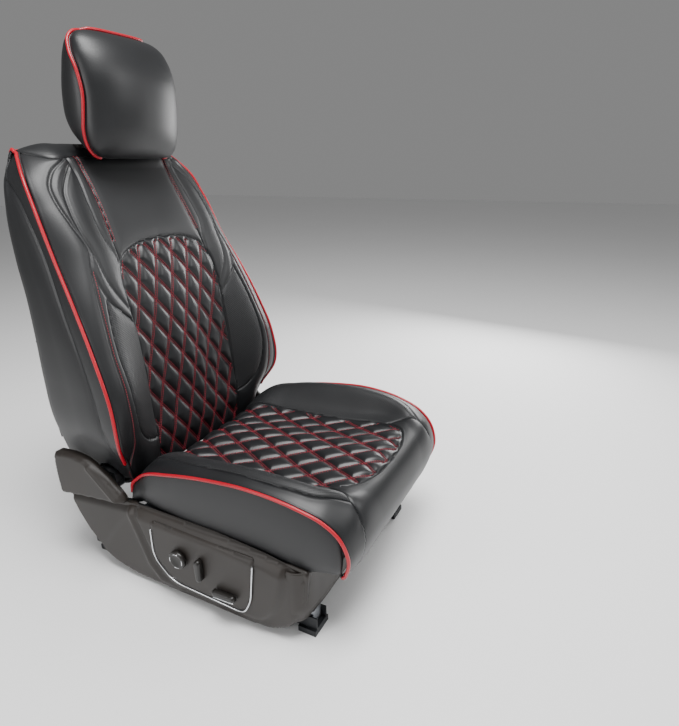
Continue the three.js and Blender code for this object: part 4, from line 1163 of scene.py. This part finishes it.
def relief_plate(name, outline, face, back, material, side=-1, step=4.0, edge_radius=6.0, relief=None):
    """A moulded plate in the side plane: its face bulges by the relief, and its edges are rounded.

    face and back are distances from the middle, and relief gives millimetres to add at (y, z).
    """
    loop = dense_loop(rounded_loop(outline), step)
    low, high = loop.min(0), loop.max(0)
    ys, zs = np.meshgrid(np.arange(low[0], high[0], step), np.arange(low[1], high[1], step))
    ys = ys + (np.arange(ys.shape[0]) % 2)[:, None] * step / 2
    inner = np.stack([ys.reshape(-1), zs.reshape(-1)], axis=-1)
    closed = np.concatenate([loop, loop[:1]])
    keep = within(inner[:, 0], inner[:, 1], loop)
    gap = distance_to(inner[:, 0], inner[:, 1], [closed])
    flat = np.concatenate([loop, inner[keep & (gap > step * 0.7)]])
    count = len(loop)
    edges = [(i, (i + 1) % count) for i in range(count)]
    places, _, faces, *_ = delaunay_2d_cdt([Vector(p) for p in flat], edges, [], 1, 1e-4)
    flat = np.array([tuple(p) for p in places])
    gap = distance_to(flat[:, 0], flat[:, 1], [closed])
    inwards = np.clip(gap / edge_radius, 0, 1)
    bevel = edge_radius * (1 - np.sqrt(np.clip(1 - (1 - inwards) ** 2, 0, 1)))
    height = face - bevel + (relief(flat[:, 0], flat[:, 1]) if relief else 0)
    outer = placed(np.stack([side * height, flat[:, 0], flat[:, 1]], axis=-1))
    rear = placed(np.stack([np.full(len(flat), side * back), flat[:, 0], flat[:, 1]], axis=-1))
    total = len(flat)
    faces = [tuple(f) for f in faces]
    directed = {(f[i], f[(i + 1) % len(f)]) for f in faces for i in range(len(f))}
    walls = [(v, u, u + total, v + total) for u, v in directed if (v, u) not in directed]
    every = faces + [tuple(i + total for i in f[::-1]) for f in faces] + walls
    if side < 0:
        every = [f[::-1] for f in every]
    return make_object(name, np.concatenate([outer, rear]), every, material)


def shield_relief(y, z):
    """The shield's face: a raised field with a sloping border, and a band that leans in at the top."""
    field = rounded_loop(RAISED_FIELD, 30)
    inside = within(y, z, field)
    gap = distance_to(y, z, [np.concatenate([field, field[:1]])])
    raised = np.where(inside, step_between(gap, 0, BORDER), 0)
    top = np.interp(y, *zip(*SHIELD_TOP))
    lean = step_between(BAND - (top - z), 0, BAND)
    fold = distance_to(y, z, [np.array(FOLD)])
    behind = step_between((y - FOLD[0][0]) * 0.8 + (FOLD[0][1] - z) * -0.6, -6, 14)
    ridge = 4.5 * np.exp(-(fold / 8) ** 2) - 4 * behind * np.where(y > 40, 1, 0)
    front = step_between(-y, 292, 332)
    return -8 + 8 * raised - 11 * lean + ridge - 10 * front


def lid_relief(y, z):
    """The recliner cover's face, with a slanting ridge."""
    (y1, z1), (y0, z0) = LID_RIDGE
    ridge = distance_to(y, z, [np.array(LID_RIDGE)])
    below = (z - z1) * (y1 - y0) - (y - y1) * (z1 - z0)
    return 4 * np.exp(-(ridge / 7) ** 2) - 5 * step_between(below, 0, 900) + 2 * step_between(y, 200, 300)


class SEAT_OT_shields(bpy.types.Operator):
    """Moulds the side shields with their front returns, and the recliner covers"""

    bl_idname = "seat.shields"
    bl_label = "Shields"

    def execute(self, context):
        plastic = MATERIALS["moulded_plastic"]
        for side, sign in (("left", -1), ("right", 1)):
            plate = relief_plate(f"shield_{side}", SHIELD, SHIELD_FACE, SHIELD_BACK, plastic, sign,
                                 edge_radius=9.0, relief=shield_relief)
            install(plate, "cushion", [f"side_shield_{side}"])
            front = self.valance(f"shield_front_{side}", sign, plastic)
            install(front, "cushion")
            lid = relief_plate(f"recliner_lid_{side}", LID, LID_FACE, LID_BACK, plastic, sign,
                               edge_radius=7.0, relief=lid_relief)
            install(lid, "cushion", [f"recliner_cover_{side}"])
        return {"FINISHED"}

    def valance(self, name, sign, material):
        """The shield's front return, curved in plan towards its side and rounded under."""
        plan = smooth_path(VALANCE, 8)
        heights = np.linspace(52, 172, 28)
        lines = []
        for z in heights:
            tuck = 14 * (1 - step_between(z, 48, 90))
            lines.append([(sign * x, y + tuck, z) for x, y in plan])
        outer = placed(np.array(lines))
        if sign < 0:
            outer = outer[:, ::-1]
        sheet = Sheet.of_points(outer, *np.meshgrid(np.arange(outer.shape[1], dtype=float), heights))
        return sheet_object(name, sheet, whole(sheet), material, VALANCE_WALL)


# The controls' outlines are back and up, and the round control's profile is radius and distance out.
TRIM_TOP = 166  # the bright strip ends at this height on both sides
RECLINE_LEVER = [(-99, 88), (-86, 87), (-84, 132), (-89, 138), (-96, 138), (-100, 132)]
TRAVEL_SLIDER = [(-180, 69), (-128, 66), (-124, 72), (-125, 80), (-176, 82), (-180, 77)]
SLIDER_EDGE = [(-178, 69.5), (-150, 67.8), (-129, 66.8)]
SWITCH_FACE = 295  # of both levers, from the middle
LUMBAR_CENTRE = (-38, 120)
LUMBAR_PROFILE = [(0, 289), (7, 289.4), (11, 291), (15, 293), (18, 293.2), (20, 291.6), (20.6, 289),
                  (20.6, 285), (0, 285)]
TICK_RADIUS, TICK_FACE = 16, 293.4


class SEAT_OT_switches(bpy.types.Operator):
    """Makes the switch panel, its bright strip and the seat's controls"""

    bl_idname = "seat.switches"
    bl_label = "Switches"

    def execute(self, context):
        dark, bright = MATERIALS["switch_plastic"], MATERIALS["bright_trim"]
        plastic = MATERIALS["moulded_plastic"]

        def panel_relief(y, z):
            return shield_relief(y, z) + 0.6

        plate = relief_plate("switch_plate", PANEL, SHIELD_FACE + 2, SHIELD_FACE - 4, plastic,
                             edge_radius=2.0, relief=panel_relief)
        install(plate, "cushion", ["switch_panel"])
        loop = rounded_loop(PANEL, 16)
        start = int(np.argmax(np.where(loop[:, 0] > 0, loop[:, 1], 0)))
        loop = dense_loop(np.roll(loop, -start, axis=0), 4)
        path = loop[loop[:, 1] < TRIM_TOP]
        lift = SHIELD_FACE + 3.0 + shield_relief(path[:, 0], path[:, 1])
        route = placed(np.stack([-lift, path[:, 0], path[:, 1]], axis=-1))
        strip = tube("switch_trim", route, 0.0017, bright, 10)
        install(strip, "cushion", ["switch_panel_trim"])
        self.round_control(dark, bright)
        lever = relief_plate("recline_lever", RECLINE_LEVER, SWITCH_FACE, 282, dark,
                             step=2.0, edge_radius=4.5)
        install(lever, "recline_switch", ["recline_switch"])
        slider = relief_plate("travel_slider", TRAVEL_SLIDER, SWITCH_FACE, 284, dark,
                              step=2.0, edge_radius=4.5)
        install(slider, "travel_switch", ["travel_switch"])
        edge = [(1 - SWITCH_FACE, y, z) for y, z in smooth_path(SLIDER_EDGE, 6)]
        lip = tube("travel_slider_edge", placed(edge), 0.0011, bright, 8)
        install(lip, "travel_switch")
        return {"FINISHED"}

    def round_control(self, dark, bright):
        """A dished round rocker with four bright ticks."""
        centre_y, centre_z = LUMBAR_CENTRE
        profile = LUMBAR_PROFILE
        sides = 48
        vertices = []
        for r, x in profile[1:-1]:
            for k in range(sides):
                angle = 2 * math.pi * k / sides
                vertices.append((-x, centre_y + r * math.cos(angle), centre_z + r * math.sin(angle)))
        vertices += [(-profile[0][1], centre_y, centre_z), (-profile[-1][1], centre_y, centre_z)]
        rings = len(profile) - 2
        faces = []
        for i in range(rings - 1):
            for k in range(sides):
                n = (k + 1) % sides
                faces.append((i * sides + k, (i + 1) * sides + k, (i + 1) * sides + n, i * sides + n))
        for k in range(sides):
            n = (k + 1) % sides
            faces.append((rings * sides, k, n))
            faces.append((rings * sides + 1, (rings - 1) * sides + n, (rings - 1) * sides + k))
        faces = [f[::-1] for f in faces]
        knob = make_object("lumbar_rocker", placed(vertices), faces, dark)
        install(knob, "lumbar_switch", ["lumbar_switch"])
        for k, turn in enumerate((0, 90, 180, 270)):
            angles = np.radians(np.linspace(turn - 17, turn + 17, 7))
            ys = centre_y + TICK_RADIUS * np.cos(angles)
            zs = centre_z + TICK_RADIUS * np.sin(angles)
            arc = np.stack([np.full(len(angles), -TICK_FACE), ys, zs], axis=-1)
            tick = tube(f"lumbar_tick_{k + 1}", placed(arc), 0.0009, bright, 8)
            install(tick, "lumbar_switch")


# ---------------------------------------------------------------- pieces that keep their plain shape
class SEAT_OT_metalwork(bpy.types.Operator):
    """Gives the frame, rails, links and guides their finishes"""

    bl_idname = "seat.metalwork"
    bl_label = "Metalwork"

    def execute(self, context):
        slots = {s["node"]: s["material_slot"] for s in frame["record"]["subparts"]}
        for name, node in frame["nodes"].items():
            if node.hide_render:
                continue
            material = MATERIALS.get(slots.get(name), MATERIALS["black_steel"])
            node.data.materials.clear()
            node.data.materials.append(material)
        return {"FINISHED"}


# ---------------------------------------------------------------- stage
CAMERA_AT = (-0.9372, -0.7515, 0.883)  # in metres
CAMERA_TURN = -62.8  # in degrees, towards the switch side
CAMERA_RISE = 20.4
CAMERA_ROLL = -0.70
CAMERA_LENS = 26.98  # in millimetres
LIGHTS_AIM = (0, 0, 0.6)
LIGHTS = [  # name, place in metres, size in metres, power in watts
    ("overhead", (-0.5, -0.7, 3.2), 1.4, 150),
    ("right_rim", (2.0, -0.3, 0.9), 0.9, 32),
    ("front_soft", (0.9, -2.4, 2.0), 1.0, 26),
    ("left_fill", (-2.2, 0.6, 1.1), 1.0, 22),
]
WORLD_STRENGTH = 0.24
FLOOR_REACH = 12.0


class SEAT_OT_stage(bpy.types.Operator):
    """Sets up the floor, the studio lights and the camera"""

    bl_idname = "seat.stage"
    bl_label = "Stage"

    def execute(self, context):
        scene = context.scene
        self.camera(scene)
        self.floor(context)
        self.lights(scene)
        return {"FINISHED"}

    def camera(self, scene):
        turn, rise, roll = (math.radians(v) for v in (CAMERA_TURN, CAMERA_RISE, CAMERA_ROLL))
        back = Vector((math.sin(turn) * math.cos(rise), -math.cos(turn) * math.cos(rise), math.sin(rise)))
        right = Vector((math.cos(turn), math.sin(turn), 0))
        up = back.cross(right)
        tilted = right * math.cos(roll) + up * math.sin(roll)
        upright = up * math.cos(roll) - right * math.sin(roll)
        data = bpy.data.cameras.new("seat_camera")
        data.lens = CAMERA_LENS
        data.clip_start = 0.02
        camera = bpy.data.objects.new("seat_camera", data)
        axes = Matrix((tilted, upright, back)).transposed().to_4x4()
        camera.matrix_world = Matrix.Translation(CAMERA_AT) @ axes
        scene.collection.objects.link(camera)
        scene.camera = camera

    def floor(self, context):
        colour = tuple(context.scene.seat_colours.floor)
        # painted studio floor: pale and almost even
        material, tree, shader = new_material("studio_paint", colour, 0.7)
        place = add_node(tree, "ShaderNodeTexCoord").outputs["Object"]
        cloud = add_node(tree, "ShaderNodeTexNoise", [(place, "Vector")], Scale=1.5)
        tree.links.new(shaded(tree, cloud.outputs["Fac"], colour, 0.99, 1.0), shader.inputs["Base Color"])
        corners = [(x * FLOOR_REACH, y * FLOOR_REACH, 0) for x, y in ((-1, -1), (1, -1), (1, 1), (-1, 1))]
        floor = make_object("floor", corners, [(0, 1, 2, 3)], material, smooth=False)

    def lights(self, scene):
        for name, place, size, power in LIGHTS:
            data = bpy.data.lights.new(name, "AREA")
            data.shape = "SQUARE"
            data.size = size
            data.energy = power
            light = bpy.data.objects.new(name, data)
            light.location = place
            way = Vector(LIGHTS_AIM) - Vector(place)
            light.rotation_euler = way.to_track_quat("-Z", "Y").to_euler()
            scene.collection.objects.link(light)
        world = bpy.data.worlds.new("studio")
        world.use_nodes = True
        background = world.node_tree.nodes["Background"]
        background.inputs["Color"].default_value = (1, 1, 1, 1)
        background.inputs["Strength"].default_value = WORLD_STRENGTH
        scene.world = world


OPERATORS = (
    SEAT_OT_stage,
    SEAT_OT_backrest_front,
    SEAT_OT_backrest_shell,
    SEAT_OT_cushion,
    SEAT_OT_headrest,
    SEAT_OT_piping,
    SEAT_OT_stitching,
    SEAT_OT_foam,
    SEAT_OT_shields,
    SEAT_OT_switches,
    SEAT_OT_metalwork,
)


class SEAT_PT_covers(bpy.types.Panel):
    """Sizes, colours and steps of the seat covers"""

    bl_idname = "SEAT_PT_covers"
    bl_label = "Seat Covers"
    bl_space_type = "VIEW_3D"
    bl_region_type = "UI"
    bl_category = "Seat Covers"

    def draw(self, context):
        for group in (context.scene.seat_sizes, context.scene.seat_colours):
            for name in group.__annotations__:
                self.layout.prop(group, name)
        for operator in OPERATORS:
            self.layout.operator(operator.bl_idname)


CLASSES = (SeatSizes, SeatColours, *OPERATORS, SEAT_PT_covers)


def register():
    """Adds the classes and the scene's settings."""
    for cls in CLASSES:
        bpy.utils.register_class(cls)
    bpy.types.Scene.seat_sizes = PointerProperty(type=SeatSizes)
    bpy.types.Scene.seat_colours = PointerProperty(type=SeatColours)


def unregister():
    """Removes the settings and the classes."""
    del bpy.types.Scene.seat_colours
    del bpy.types.Scene.seat_sizes
    for cls in reversed(CLASSES):
        bpy.utils.unregister_class(cls)


def main():
    """Builds the seat, one operator after another."""
    register()
    MATERIALS.update(make_materials(bpy.context.scene.seat_colours))
    for operator in OPERATORS:
        module, name = operator.bl_idname.split(".")
        getattr(getattr(bpy.ops, module), name)()


if __name__ == "__main__":
    main()
